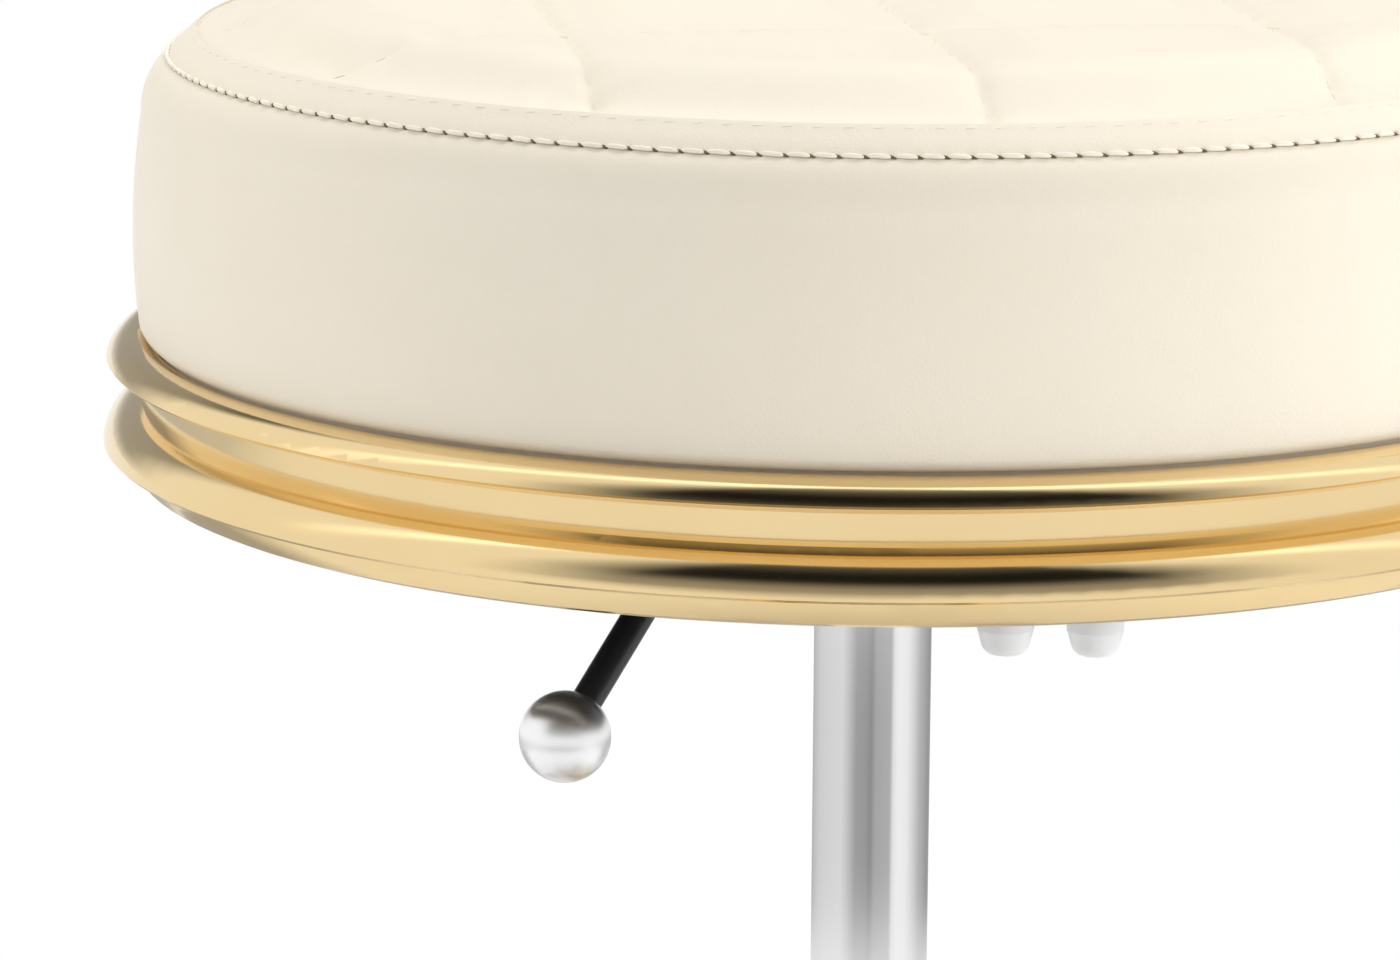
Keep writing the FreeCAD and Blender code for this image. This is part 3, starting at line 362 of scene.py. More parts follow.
# %% Outlines from corners and arcs
def arc_points(start, end, radius, swell, steps):
    """Points from start to end on an arc, end left out. swell is 1 to bow outwards on an upward run."""
    a = np.array(start, float)
    b = np.array(end, float)
    chord = b - a
    half = np.linalg.norm(chord) / 2
    across = np.array([chord[1], -chord[0]]) / (2 * half) * swell
    centre = (a + b) / 2 - across * math.sqrt(radius * radius - half * half)
    first = math.atan2(*(a - centre)[::-1])
    last = math.atan2(*(b - centre)[::-1])
    sweep = (last - first + math.pi) % (2 * math.pi) - math.pi
    angles = first + sweep * np.arange(steps) / steps
    return [tuple(centre + radius * np.array([math.cos(t), math.sin(t)])) for t in angles]


def line_points(start, end, steps):
    """Points from start to end on a line, end left out."""
    a = np.array(start, float)
    b = np.array(end, float)
    return [tuple(a + (b - a) * i / steps) for i in range(steps)]


# %% Turn an outline into a piece
def smooth_piece(name, mesh, material):
    """An object from a mesh, shaded smooth, with its finish, that rides on the seat."""
    piece = bpy.data.objects.new(name, mesh)
    bpy.context.scene.collection.objects.link(piece)
    mesh.polygons.foreach_set("use_smooth", [True] * len(mesh.polygons))
    mesh.materials.append(material)
    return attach(piece, "seat")


def turned_mesh(name, outline, segments, shape=None):
    """A closed outline of radius and height, turned about the seat's axis. shape may move its points."""
    profile = np.array(outline)
    turn = np.arange(segments) * 2 * math.pi / segments
    radius = np.repeat(profile[:, 0][None, :], segments, 0)
    height = np.repeat(profile[:, 1][None, :], segments, 0)
    angle = np.repeat(turn[:, None], len(profile), 1)
    if shape is not None:
        radius, height = shape(radius, height, angle)
    points = np.stack([radius * np.cos(angle), radius * np.sin(angle), ring_z + height], -1)
    count = len(profile)
    faces = []
    for i in range(segments):
        near = i * count
        far = (i + 1) % segments * count
        for j in range(count):
            k = (j + 1) % count
            faces.append((near + j, far + j, far + k, near + k))
    mesh = bpy.data.meshes.new(name)
    mesh.from_pydata(points.reshape(-1, 3).tolist(), [], faces)
    mesh.update()
    return mesh


# %% Sew the side band
LEATHER = 1.5 * MM
BOARD_UNDER = 17.17 * MM
HEM_R = 140 * MM
TUCK_IN_R = 168.5 * MM
TUCK_OUT_R = 170.1 * MM
RING_TOP = 32.2 * MM
BAND_FOOT = (170.9 * MM, 32.5 * MM)
BAND_TURN = (172.85 * MM, 35.2 * MM)
FOOT_BOW = 4.2 * MM
BAND_SHOULDER = (171.6 * MM, 84 * MM)
SEAM = (165.4 * MM, 97.1 * MM)
BAND_BOW = 180 * MM
SHOULDER_BOW = 16 * MM
STITCH_PITCH = 5.5 * MM
SEAM_STITCHES = round(2 * math.pi * SEAM[0] / STITCH_PITCH)
SEGMENTS = 4 * SEAM_STITCHES
SEAM_DIP = 0.42 * MM
SEAM_DIP_REACH = 1.9 * MM
SEAM_TURN_IN = 1.2 * MM
FOOT_EASE = 0.2 * MM
SLACK = 0.16 * MM


def seam_pull(distance, angle):
    """How far the leather sinks near the seam. The dip grows and shrinks once in each stitch."""
    scallop = 0.75 + 0.25 * np.cos(angle * SEAM_STITCHES)
    return SEAM_DIP * scallop * np.exp(-((distance / SEAM_DIP_REACH) ** 2))


def band_outline():
    """The band's closed outline: hem, tuck, bowed side, shoulder, seam, and back down inside."""
    inner_seam = (SEAM[0] - SEAM_TURN_IN, SEAM[1] - 2 * LEATHER)
    inner_shoulder = (BAND_SHOULDER[0] - LEATHER, BAND_SHOULDER[1] - LEATHER)
    inner_foot = (TUCK_IN_R + FOOT_EASE, BAND_FOOT[1] + LEATHER)
    points = line_points((HEM_R, BOARD_UNDER - LEATHER), (TUCK_OUT_R, BOARD_UNDER - LEATHER), 6)
    points += line_points((TUCK_OUT_R, BOARD_UNDER - LEATHER), (TUCK_OUT_R, RING_TOP), 6)
    points += line_points((TUCK_OUT_R, RING_TOP), BAND_FOOT, 4)
    points += arc_points(BAND_FOOT, BAND_TURN, FOOT_BOW, 1, 10)
    points += arc_points(BAND_TURN, BAND_SHOULDER, BAND_BOW, 1, 28)
    points += arc_points(BAND_SHOULDER, SEAM, SHOULDER_BOW, 1, 24)
    points += line_points(SEAM, inner_seam, 3)
    points += line_points(inner_seam, inner_shoulder, 4)
    points += line_points(inner_shoulder, inner_foot, 6)
    points += line_points(inner_foot, (TUCK_IN_R, BOARD_UNDER), 4)
    points += line_points((TUCK_IN_R, BOARD_UNDER), (HEM_R, BOARD_UNDER), 6)
    return points


def slack_leather(radius, height, angle):
    """Moves the band's points: the seam's edge is pulled in, and the side has faint slow waves.

    The waves' counts have no common factor, so the slack never repeats around the seat.
    """
    distance = np.hypot(radius - SEAM[0], height - SEAM[1])
    pull = seam_pull(distance, angle)
    side = np.clip((height - BAND_FOOT[1]) / (BAND_SHOULDER[1] - BAND_FOOT[1]), 0, 1)
    waves = np.sin(5 * angle + 0.6) + 0.7 * np.sin(9 * angle + 2.1 + 3 * side) + 0.4 * np.sin(23 * angle)
    slack = SLACK * np.sin(math.pi * side) * waves
    return radius + slack - 0.7 * pull, height - pull


band_mesh = turned_mesh("side_band", band_outline(), SEGMENTS, slack_leather)
band = smooth_piece("side_band", band_mesh, leather)
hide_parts("cover_band")
print("side band:", len(band.data.polygons), "faces,", SEAM_STITCHES, "stitches around")

# %% [markdown]
# ## The border strip
# Between the topstitched seam and the quilted top runs a narrow, steep strip, a little bowed. Its outer
# edge is pulled down by the topstitch. Its inner edge is folded over and laid on the panel, so it stands up
# a little. It is turned from an outline too, so that it meets the band's edge stitch for stitch.

# %% Sew the border strip
PANEL_R = 159 * MM
PANEL_SEAM_Z = 102.75 * MM
BORDER_BOW = 34 * MM
FOLD = 0.25 * MM
FOLD_REACH = 1.6 * MM
STRIP_GAP = 0.05 * MM
STRIP_LAP = 0.25 * MM
STRIP_TURN_IN = 0.8 * MM
STRIP_RIPPLE = 0.10 * MM
STRIP_RIPPLE_REACH = 4 * MM


def border_outline():
    """The strip's closed outline, from the topstitched seam to the panel's seam and back underneath."""
    outer = (SEAM[0] - STRIP_GAP, SEAM[1] + STRIP_GAP)
    inner = (PANEL_R - STRIP_LAP, PANEL_SEAM_Z)
    under_inner = (inner[0], inner[1] - LEATHER)
    under_outer = (outer[0] - STRIP_TURN_IN, outer[1] - LEATHER)
    points = arc_points(outer, inner, BORDER_BOW, 1, 30)
    points += line_points(inner, under_inner, 2)
    points += line_points(under_inner, under_outer, 8)
    points += line_points(under_outer, outer, 2)
    return points


def sewn_strip(radius, height, angle):
    """Moves the strip's points: it sinks at the topstitch, stands up at its folded edge, and ripples."""
    outer = np.hypot(radius - SEAM[0], height - SEAM[1])
    inner = np.hypot(radius - PANEL_R, height - PANEL_SEAM_Z)
    sink = seam_pull(outer, angle) - FOLD * np.exp(-((inner / FOLD_REACH) ** 2))
    waves = np.sin(31 * angle + 1.0) * np.sin(17 * angle)
    ripple = STRIP_RIPPLE * waves * (1 - np.exp(-inner / STRIP_RIPPLE_REACH))
    return radius, height - sink + ripple


border_mesh = turned_mesh("border_strip", border_outline(), SEGMENTS, sewn_strip)
border = smooth_piece("border_strip", border_mesh, leather)
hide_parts("cover_border")
print("border strip:", len(border.data.polygons), "faces")

# %% [markdown]
# ## The quilted top
# The top is a disc of leather over wadding, sewn through in a grid of squares. Between the seams it puffs
# up. It could be sculpted, but cloth simulation gives the puff its natural shape: the seams and the rim are
# pinned, and pressure lifts the rest. So the top starts as a grid that is bent into a crowned disc and
# already sunk along its seams.

# %% Shape the top before it is filled
QUILT_TURN = math.radians(10.3)
QUILT_PITCH = 78.9 * MM
QUILT_SHIFT = 4.2 * MM
CROSS_SHIFT = -4 * MM
QUILT_SINK = 2.3 * MM
CROSS_SHARE = 0.55
CROWN_RISE = 10.4 * MM
SHOULDER_REACH = 17 * MM
CROWN_POWER = 2.5
WAD_SPREAD = 9 * MM
SEAM_END = 10 * MM
GRID = 112


def quilt_distances(x, y):
    """Distance to the nearest seam of each direction, and the place along each of those seams."""
    across = x * math.cos(QUILT_TURN) + y * math.sin(QUILT_TURN)
    along = y * math.cos(QUILT_TURN) - x * math.sin(QUILT_TURN)
    across = across + QUILT_SHIFT
    along = along + CROSS_SHIFT
    to_first = np.abs(across - QUILT_PITCH * np.clip(np.round(across / QUILT_PITCH), -1, 1))
    to_second = np.abs(along - QUILT_PITCH * np.clip(np.round(along / QUILT_PITCH), -1, 1))
    return to_first, to_second, across, along


def crown_height(radius):
    """Height of the wadded top without its seams: it rises from the rim, then is almost level."""
    inward = np.clip(PANEL_R - radius, 0, None)
    return PANEL_SEAM_Z + CROWN_RISE * (1 - np.exp(-((inward / SHOULDER_REACH) ** CROWN_POWER)))


def panel_points():
    """A grid bent into a disc, crowned, and sunk along the seams."""
    side = np.linspace(-1, 1, GRID + 1)
    u, v = np.meshgrid(side, side, indexing="ij")
    x = PANEL_R * u * np.sqrt(1 - v * v / 2)
    y = PANEL_R * v * np.sqrt(1 - u * u / 2)
    radius = np.hypot(x, y)
    to_first, to_second, _, _ = quilt_distances(x, y)
    puff = (1 - np.exp(-to_first / WAD_SPREAD)) * (1 - CROSS_SHARE * np.exp(-to_second / WAD_SPREAD))
    sink = QUILT_SINK * (1 - puff) * np.clip((PANEL_R - radius) / SEAM_END, 0, 1)
    z = crown_height(radius) - sink
    return np.stack([x, y, z + ring_z], -1).reshape(-1, 3)


def grid_faces(side):
    """Faces of a square grid of points, seen from above."""
    row = side + 1
    return [
        (i * row + j, (i + 1) * row + j, (i + 1) * row + j + 1, i * row + j + 1)
        for i in range(side)
        for j in range(side)
    ]


start_points = panel_points()
panel_mesh = bpy.data.meshes.new("quilted_top")
panel_mesh.from_pydata(start_points.tolist(), [], grid_faces(GRID))
panel_mesh.update()
top = smooth_piece("quilted_top", panel_mesh, leather)
print("quilted top starts with", len(panel_mesh.vertices), "points")

# %% [markdown]
# ## The puff
# The cloth runs for a few frames with gravity off, and its last shape is kept as the mesh, so nothing has
# to be simulated again. How far a point may move is capped, because the solid underneath sets the size.

# %% Fill it with pressure
PUFF_FRAMES = 20
PUFF_CAP = 2.4 * MM
PUFF_PRESSURE = 4.0
SEWN_HALF_WIDTH = 2.2 * MM
RIM_WIDTH = 1.5 * MM


def read_points(mesh):
    """A mesh's points as rows of x, y and z."""
    flat = np.zeros(len(mesh.vertices) * 3)
    mesh.vertices.foreach_get("co", flat)
    return flat.reshape(-1, 3)


def write_points(mesh, points):
    """Puts moved points back into a mesh."""
    mesh.vertices.foreach_set("co", np.asarray(points, np.float32).ravel())
    mesh.update()


def puff_up(piece):
    """Runs the cloth with its seams and rim pinned, and gives the points it ends with."""
    points = read_points(piece.data)
    to_first, to_second, _, _ = quilt_distances(points[:, 0], points[:, 1])
    sewn = np.minimum(to_first, to_second) < SEWN_HALF_WIDTH
    rim = np.hypot(points[:, 0], points[:, 1]) > PANEL_R - RIM_WIDTH
    pinned = piece.vertex_groups.new(name="sewn")
    pinned.add(np.flatnonzero(sewn | rim).tolist(), 1.0, "REPLACE")
    cloth = piece.modifiers.new("filling", "CLOTH")
    cloth.settings.vertex_group_mass = "sewn"
    cloth.settings.use_pressure = True
    cloth.settings.uniform_pressure_force = PUFF_PRESSURE
    cloth.settings.effector_weights.gravity = 0.0
    cloth.settings.tension_stiffness = 40.0
    cloth.settings.bending_stiffness = 2.0
    cloth.point_cache.frame_end = PUFF_FRAMES
    for step in range(1, PUFF_FRAMES + 1):
        bpy.context.scene.frame_set(step)
    filled = piece.evaluated_get(bpy.context.evaluated_depsgraph_get())
    result = read_points(filled.data)
    piece.modifiers.remove(cloth)
    bpy.context.scene.frame_set(1)
    return result


moved = puff_up(top) - start_points
lengths = np.linalg.norm(moved, axis=1)
print("puff before the cap:", round(float(lengths.max() / MM), 2), "mm")
scale = np.minimum(1.0, PUFF_CAP / np.maximum(lengths, 1e-9))
write_points(top.data, start_points + moved * scale[:, None])

# %% [markdown]
# ## Creases and puckers
# A seam is a sharp crease, and the thread gathers small puckers beside it. They are finer than the cloth's
# grid, so the mesh is divided once and then its points are moved. The rim is carried down and closed, which
# makes the top a solid piece.

# %% Crease the seams and close the underside
CREASE = 0.9 * MM
CROSS_CREASE = 0.25 * MM
CREASE_REACH = 1.6 * MM
PUCKER = 0.28 * MM
PUCKER_PITCH = 11 * MM
PUCKER_REACH = 7 * MM
RIM_PUCKER_REACH = 6 * MM
RIM_DIP = 0.3 * MM
RIM_DIP_REACH = 1.2 * MM
PANEL_UNDER = 96.2 * MM


def crease(points):
    """Sinks the points at each seam, ripples the leather beside it, and turns the rim down."""
    x, y = points[:, 0], points[:, 1]
    to_first, to_second, across, along = quilt_distances(x, y)
    radius = np.hypot(x, y)
    to_rim = PANEL_R - radius
    inside = np.clip(to_rim / RIM_PUCKER_REACH, 0, 1)
    sink = CREASE * np.exp(-((to_first / CREASE_REACH) ** 2))
    sink += CROSS_CREASE * np.exp(-((to_second / CREASE_REACH) ** 2))
    ripple = np.sin(2 * math.pi * along / PUCKER_PITCH + 40 * across) * np.exp(-to_first / PUCKER_REACH)
    ripple += np.sin(2 * math.pi * across / PUCKER_PITCH + 40 * along) * np.exp(-to_second / PUCKER_REACH)
    turn = np.arctan2(y, x)
    ripple += np.sin(61 * turn) * np.sin(23 * turn + 1) * np.exp(-to_rim / RIM_PUCKER_REACH)
    points[:, 2] += PUCKER * inside * ripple - sink * (0.4 + 0.6 * inside)
    points[:, 2] -= RIM_DIP * np.exp(-((to_rim / RIM_DIP_REACH) ** 2))
    return points


def close_underside(mesh, height):
    """Carries the rim straight down and closes it with one flat face."""
    shell = bmesh.new()
    shell.from_mesh(mesh)
    rim = [edge for edge in shell.edges if edge.is_boundary]
    skirt = bmesh.ops.extrude_edge_only(shell, edges=rim)["geom"]
    for point in skirt:
        if isinstance(point, bmesh.types.BMVert):
            point.co.z = height
    bmesh.ops.holes_fill(shell, edges=[e for e in shell.edges if e.is_boundary], sides=0)
    bmesh.ops.recalc_face_normals(shell, faces=shell.faces)
    shell.to_mesh(mesh)
    shell.free()
    mesh.polygons.foreach_set("use_smooth", [True] * len(mesh.polygons))


def refine(piece):
    """Divides each face into four, smoothly, and keeps the result as the piece's own mesh."""
    divide = piece.modifiers.new("divide", "SUBSURF")
    divide.levels = 1
    divide.render_levels = 1
    finer = bpy.data.meshes.new_from_object(piece.evaluated_get(bpy.context.evaluated_depsgraph_get()))
    piece.modifiers.remove(divide)
    piece.data = finer


refine(top)
write_points(top.data, crease(read_points(top.data)))
close_underside(top.data, ring_z + PANEL_UNDER)
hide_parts("cover_top", "foam_core")
print("quilted top:", len(top.data.polygons), "faces")

# %% [markdown]
# ## Threads
# The topstitch is a row of separate stitches. Each is a short thread that comes out of one needle hole and
# goes into the next, so it is highest in its middle. The shade inside each hole is painted: a small dark
# mark sits there. A finer thread sews the panel's rim and the quilting, where it almost sinks into the
# leather. One small mesh, repeated along each seam, keeps it light.

# %% Repeat a small shape along a line
def bead(length, thickness, rings, sides, arch):
    """Points and faces of a short thread along X, round in section, thin at its ends, arched in Z."""
    points = []
    for i in range(rings + 1):
        t = -1 + 2 * i / rings
        swell = thickness * max(0.12, (1 - t**4)) ** 0.5
        for j in range(sides):
            a = 2 * math.pi * j / sides
            points.append((t * length / 2, swell * math.cos(a), swell * math.sin(a) + arch * (1 - t * t)))
    faces = []
    for i in range(rings):
        for j in range(sides):
            k = (j + 1) % sides
            faces.append((i * sides + j, (i + 1) * sides + j, (i + 1) * sides + k, i * sides + k))
    faces.append(tuple(range(sides)))
    faces.append(tuple(rings * sides + j for j in reversed(range(sides))))
    return np.array(points), faces


def repeated(name, shape, places):
    """One mesh of a shape repeated at each place, a 4 by 4 matrix."""
    points, faces = shape
    all_points = []
    all_faces = []
    for place in places:
        first = len(all_points)
        m = np.array(place)
        all_points += (points @ m[:3, :3].T + m[:3, 3]).tolist()
        all_faces += [tuple(first + i for i in face) for face in faces]
    mesh = bpy.data.meshes.new(name)
    mesh.from_pydata(all_points, [], all_faces)
    mesh.update()
    return mesh


def around(radius, height, turn, lean=0.0, slant=0.0):
    """A place on the seat's rim at a turn about its axis: X runs along the rim, Z leans outwards."""
    spin = Matrix.Rotation(turn, 4, "Z")
    shift = Matrix.Translation((0, -radius, ring_z + height))
    tilt = Matrix.Rotation(lean, 4, "X")
    return spin @ shift @ tilt @ Matrix.Rotation(slant, 4, "Z")


# %% Stitch the seam
STITCH = bead(length=4.9 * MM, thickness=0.52 * MM, rings=8, sides=8, arch=0.18 * MM)
# Painted shade: the hole shape is a small dark bead that stands for the shade inside a needle hole.
HOLE_SHADE_MARK = bead(length=1.8 * MM, thickness=0.34 * MM, rings=4, sides=8, arch=0.0)
SEAM_LEAN = math.radians(38)
STITCH_LIFT = 0.02 * MM
STITCH_SLANT = -0.06
HOLE_IN = 0.1 * MM
HOLE_DOWN = 0.18 * MM
HOLE_SLANT = -0.45
stitch_turns = [2 * math.pi * i / SEAM_STITCHES for i in range(SEAM_STITCHES)]
half_stitch = math.pi / SEAM_STITCHES
stitch_places = [
    around(SEAM[0] + STITCH_LIFT, SEAM[1] - STITCH_LIFT, t, SEAM_LEAN, STITCH_SLANT) for t in stitch_turns
]
hole_shade_places = [
    around(SEAM[0] - HOLE_IN, SEAM[1] - HOLE_DOWN, t + half_stitch, SEAM_LEAN, HOLE_SLANT)
    for t in stitch_turns
]
smooth_piece("topstitch", repeated("topstitch", STITCH, stitch_places), thread)
smooth_piece("needle_hole_shade_marks", repeated("needle_hole_shade_marks", HOLE_SHADE_MARK, hole_shade_places), needle_hole_shade)
print("stitches:", len(stitch_turns))

# %% Stitch the panel's rim
PANEL_STITCH = bead(length=2.4 * MM, thickness=0.13 * MM, rings=6, sides=6, arch=0.06 * MM)
PANEL_STITCHES = 160
PANEL_STITCH_OUT = 0.85 * MM
PANEL_STITCH_DOWN = 0.61 * MM
PANEL_STITCH_LEAN = 0.72
PANEL_STITCH_SLANT = 0.12
panel_turns = [2 * math.pi * i / PANEL_STITCHES for i in range(PANEL_STITCHES)]
panel_seam = (PANEL_R + PANEL_STITCH_OUT, PANEL_SEAM_Z - PANEL_STITCH_DOWN)
panel_places = [around(*panel_seam, t, PANEL_STITCH_LEAN, PANEL_STITCH_SLANT) for t in panel_turns]
smooth_piece("panel_stitch", repeated("panel_stitch", PANEL_STITCH, panel_places), thread)
print("stitches at the panel's rim:", len(panel_turns))

# %% Stitch the quilting
QUILT_STITCH = bead(length=3.0 * MM, thickness=0.14 * MM, rings=6, sides=6, arch=0.05 * MM)
QUILT_STITCH_PITCH = 4.4 * MM
QUILT_END = 5 * MM
CROSS_DEPTH = 0.16 * MM
ABOVE_SEAT = 0.3
top_tree = BVHTree.FromPolygons(
    [point.co.copy() for point in top.data.vertices], [tuple(face.vertices) for face in top.data.polygons]
)


def on_top(x, y):
    """The place on the quilted top at a point of its plan, looked for from above."""
    return top_tree.ray_cast(Vector((x, y, ring_z + ABOVE_SEAT)), Vector((0, 0, -1)))[0]


def laid(start, end, depth):
    """A place for a stitch on the quilted top between two points, pulled into the leather by a depth."""
    a, b = on_top(*start), on_top(*end)
    along = (b - a).normalized()
    side = Vector((0, 0, 1)).cross(along).normalized()
    turn = Matrix((along, side, along.cross(side))).transposed().to_4x4()
    return Matrix.Translation((a + b) / 2 - Vector((0, 0, depth))) @ turn


def quilt_seam(normal, offset, depth):
    """Places for the stitches of one seam, square to a direction and at an offset from the middle."""
    across = Vector((math.cos(normal), math.sin(normal)))
    along = Vector((-across.y, across.x))
    half = math.sqrt((PANEL_R - QUILT_END) ** 2 - offset**2)
    count = int(2 * half / QUILT_STITCH_PITCH)
    places = []
    for i in range(count):
        middle = across * offset + along * ((i + 0.5) * 2 * half / count - half)
        reach = along * (QUILT_STITCH_PITCH / 2)
        places.append(laid(middle - reach, middle + reach, depth))
    return places


quilt_places = []
for number in (-1, 0, 1):
    quilt_places += quilt_seam(QUILT_TURN, number * QUILT_PITCH - QUILT_SHIFT, 0)
    quilt_places += quilt_seam(QUILT_TURN + math.pi / 2, number * QUILT_PITCH - CROSS_SHIFT, CROSS_DEPTH)
smooth_piece("quilt_stitch", repeated("quilt_stitch", QUILT_STITCH, quilt_places), thread)
print("stitches in the quilting:", len(quilt_places))

# %% [markdown]
# ## Floor and white surroundings
# The stool stands on a plain pale floor that keeps its shadow near the base and fades into white further
# out. The world is white where it is seen, directly or in a reflection, and gives about a third of that as
# light. That way the backdrop is white without too much light on the stool.

# %% What is seen, and what only gives light
def add_seen(tree):
    """1 on rays from the camera, off a shiny surface or through a clear one, else 0. Gives that output."""
    path = tree.nodes.new("ShaderNodeLightPath")
    seen = path.outputs["Is Camera Ray"]
    for kind in ("Is Glossy Ray", "Is Transmission Ray"):
        either = tree.nodes.new("ShaderNodeMath")
        either.operation = "MAXIMUM"
        tree.links.new(seen, either.inputs[0])
        tree.links.new(path.outputs[kind], either.inputs[1])
        seen = either.outputs["Value"]
    return seen


# %% The floor
FLOOR_TONE = 0.86
FLOOR_FADE = (0.35, 0.95)
FLOOR_R = 9.0


def floor_finish():
    """Matt near the stool, where the shadow falls, and plain white further out."""
    material = bpy.data.materials.new("studio_floor")
    material.use_nodes = True
    tree = material.node_tree
    tree.nodes.remove(tree.nodes["Principled BSDF"])
    matt = tree.nodes.new("ShaderNodeBsdfDiffuse")
    matt.inputs["Color"].default_value = (FLOOR_TONE, FLOOR_TONE, FLOOR_TONE, 1)
    white = tree.nodes.new("ShaderNodeEmission")
    place = tree.nodes.new("ShaderNodeTexCoord")
    reach = tree.nodes.new("ShaderNodeVectorMath")
    reach.operation = "LENGTH"
    fade = tree.nodes.new("ShaderNodeMapRange")
    fade.interpolation_type = "SMOOTHSTEP"
    fade.inputs["From Min"].default_value = FLOOR_FADE[0]
    fade.inputs["From Max"].default_value = FLOOR_FADE[1]
    share = tree.nodes.new("ShaderNodeMath")
    share.operation = "MULTIPLY"
    mix = tree.nodes.new("ShaderNodeMixShader")
    tree.links.new(place.outputs["Object"], reach.inputs[0])
    tree.links.new(reach.outputs["Value"], fade.inputs["Value"])
    tree.links.new(fade.outputs["Result"], share.inputs[0])
    tree.links.new(add_seen(tree), share.inputs[1])
    tree.links.new(share.outputs["Value"], mix.inputs["Fac"])
    tree.links.new(matt.outputs["BSDF"], mix.inputs[1])
    tree.links.new(white.outputs["Emission"], mix.inputs[2])
    tree.links.new(mix.outputs["Shader"], tree.nodes["Material Output"].inputs["Surface"])
    return material


bpy.ops.mesh.primitive_circle_add(vertices=128, radius=FLOOR_R, fill_type="NGON", location=(0, 0, 0))
floor = bpy.context.object
floor.name = "studio_floor"
floor.data.materials.append(floor_finish())
print("floor:", FLOOR_R, "m to each side")

# %% The world
AMBIENT = 0.32
world = bpy.data.worlds.new("studio_white")
bpy.context.scene.world = world
world.use_nodes = True
tree = world.node_tree
backdrop = tree.nodes["Background"]
backdrop.inputs["Color"].default_value = (1, 1, 1, 1)
strength = tree.nodes.new("ShaderNodeMapRange")
strength.inputs["To Min"].default_value = AMBIENT
strength.inputs["To Max"].default_value = 1.0
tree.links.new(add_seen(tree), strength.inputs["Value"])
tree.links.new(strength.outputs["Result"], backdrop.inputs["Strength"])
print("the world gives", AMBIENT, "of its white as light")

# %% [markdown]
# ## Lamps
# Three soft lamps light the stool: a large one above and a little behind it, and one in front at each
# side. The right one is stronger, so the round side turns from light to shade. Polished metal doesn't see
# the lamps. What it shows is made of cards, which come next.

# %% The lamps
def softbox(name, place, aim, width, height, power):
    """A rectangular soft lamp at a place, turned towards a point."""
    lamp = bpy.data.lights.new(name, "AREA")
    lamp.shape = "RECTANGLE"
    lamp.size = width
    lamp.size_y = height
    lamp.energy = power
    box = bpy.data.objects.new(name, lamp)
    bpy.context.scene.collection.objects.link(box)
    box.location = place
    box.rotation_euler = (Vector(aim) - Vector(place)).to_track_quat("-Z", "Y").to_euler()
    box.visible_glossy = False
    return box


SEAT_MIDDLE = (0, 0, ring_z + 0.06)
softbox("top_softbox", (0.0, 0.9, 2.3), SEAT_MIDDLE, width=2.0, height=2.0, power=46)
softbox("left_softbox", (-2.0, -1.1, 1.0), SEAT_MIDDLE, width=1.2, height=1.8, power=22.6)
softbox("right_softbox", (2.1, -0.9, 0.9), SEAT_MIDDLE, width=1.0, height=1.6, power=39)
print("lamps:", len(bpy.data.lights))

# %% [markdown]
# ## Cards that only reflections see
# Polished metal has no look of its own: it shows its surroundings, and in an all-white studio it would be
# white. Photographers stand dark and bright cards around it. Each card here is a grid of points that carry
# two values, how bright it shines and how much it covers, so its edges can fade. The first two are pieces
# of a sphere, in front and behind, and give the ring's steps their dark bands.

# %% A finish for the reflected cards
def card_finish():
    """Shines with its own shade, and is see-through where its cover runs out."""
    material = bpy.data.materials.new("reflected_card")
    material.use_nodes = True
    tree = material.node_tree
    tree.nodes.remove(tree.nodes["Principled BSDF"])
    glow = tree.nodes.new("ShaderNodeEmission")
    clear = tree.nodes.new("ShaderNodeBsdfTransparent")
    shade = tree.nodes.new("ShaderNodeAttribute")
    shade.attribute_name = "shade"
    cover = tree.nodes.new("ShaderNodeAttribute")
    cover.attribute_name = "cover"
    mix = tree.nodes.new("ShaderNodeMixShader")
    tree.links.new(shade.outputs["Fac"], glow.inputs["Strength"])
    tree.links.new(cover.outputs["Fac"], mix.inputs["Fac"])
    tree.links.new(clear.outputs["BSDF"], mix.inputs[1])
    tree.links.new(glow.outputs["Emission"], mix.inputs[2])
    tree.links.new(mix.outputs["Shader"], tree.nodes["Material Output"].inputs["Surface"])
    return material


card_material = card_finish()


def stand_card(name, points, cover, shade, steps):
    """A card from a square grid of points. Only reflections see it."""
    mesh = bpy.data.meshes.new(name)
    mesh.from_pydata(points, [], grid_faces(steps))
    mesh.attributes.new("cover", "FLOAT", "POINT").data.foreach_set("value", cover)
    mesh.attributes.new("shade", "FLOAT", "POINT").data.foreach_set("value", shade)
    mesh.materials.append(card_material)
    card = bpy.data.objects.new(name, mesh)
    bpy.context.scene.collection.objects.link(card)
    card.visible_camera = False
    card.visible_diffuse = False
    card.visible_shadow = False
    card.visible_transmission = False
    return card


print("card finish:", card_material.name)

# %% The dark cards overhead
CARD_R = 3.2
FRONT_TURNS, FRONT_EDGE = 64, 24
BACK_TURNS, BACK_EDGE = 52, 14
CARD_STEPS = 64
# How bright a card is at each height above the horizon, in degrees
FRONT_SHADES = {
    11: 0.95, 16: 0.45, 20: 0.36, 26: 0.32, 34: 0.14, 40: 0.03, 45: 0.012,
    56: 0.015, 62: 0.04, 70: 0.08, 78: 0.18, 83: 0.36, 88: 0.90,
}
FRONT_MIDDLE, BACK_MIDDLE = 4, 182
BACK_SHADES = {0: 0.80, 6: 0.40, 28: 0.34, 36: 0.10, 60: 0.05, 72: 0.12, 82: 0.35, 88: 0.90}


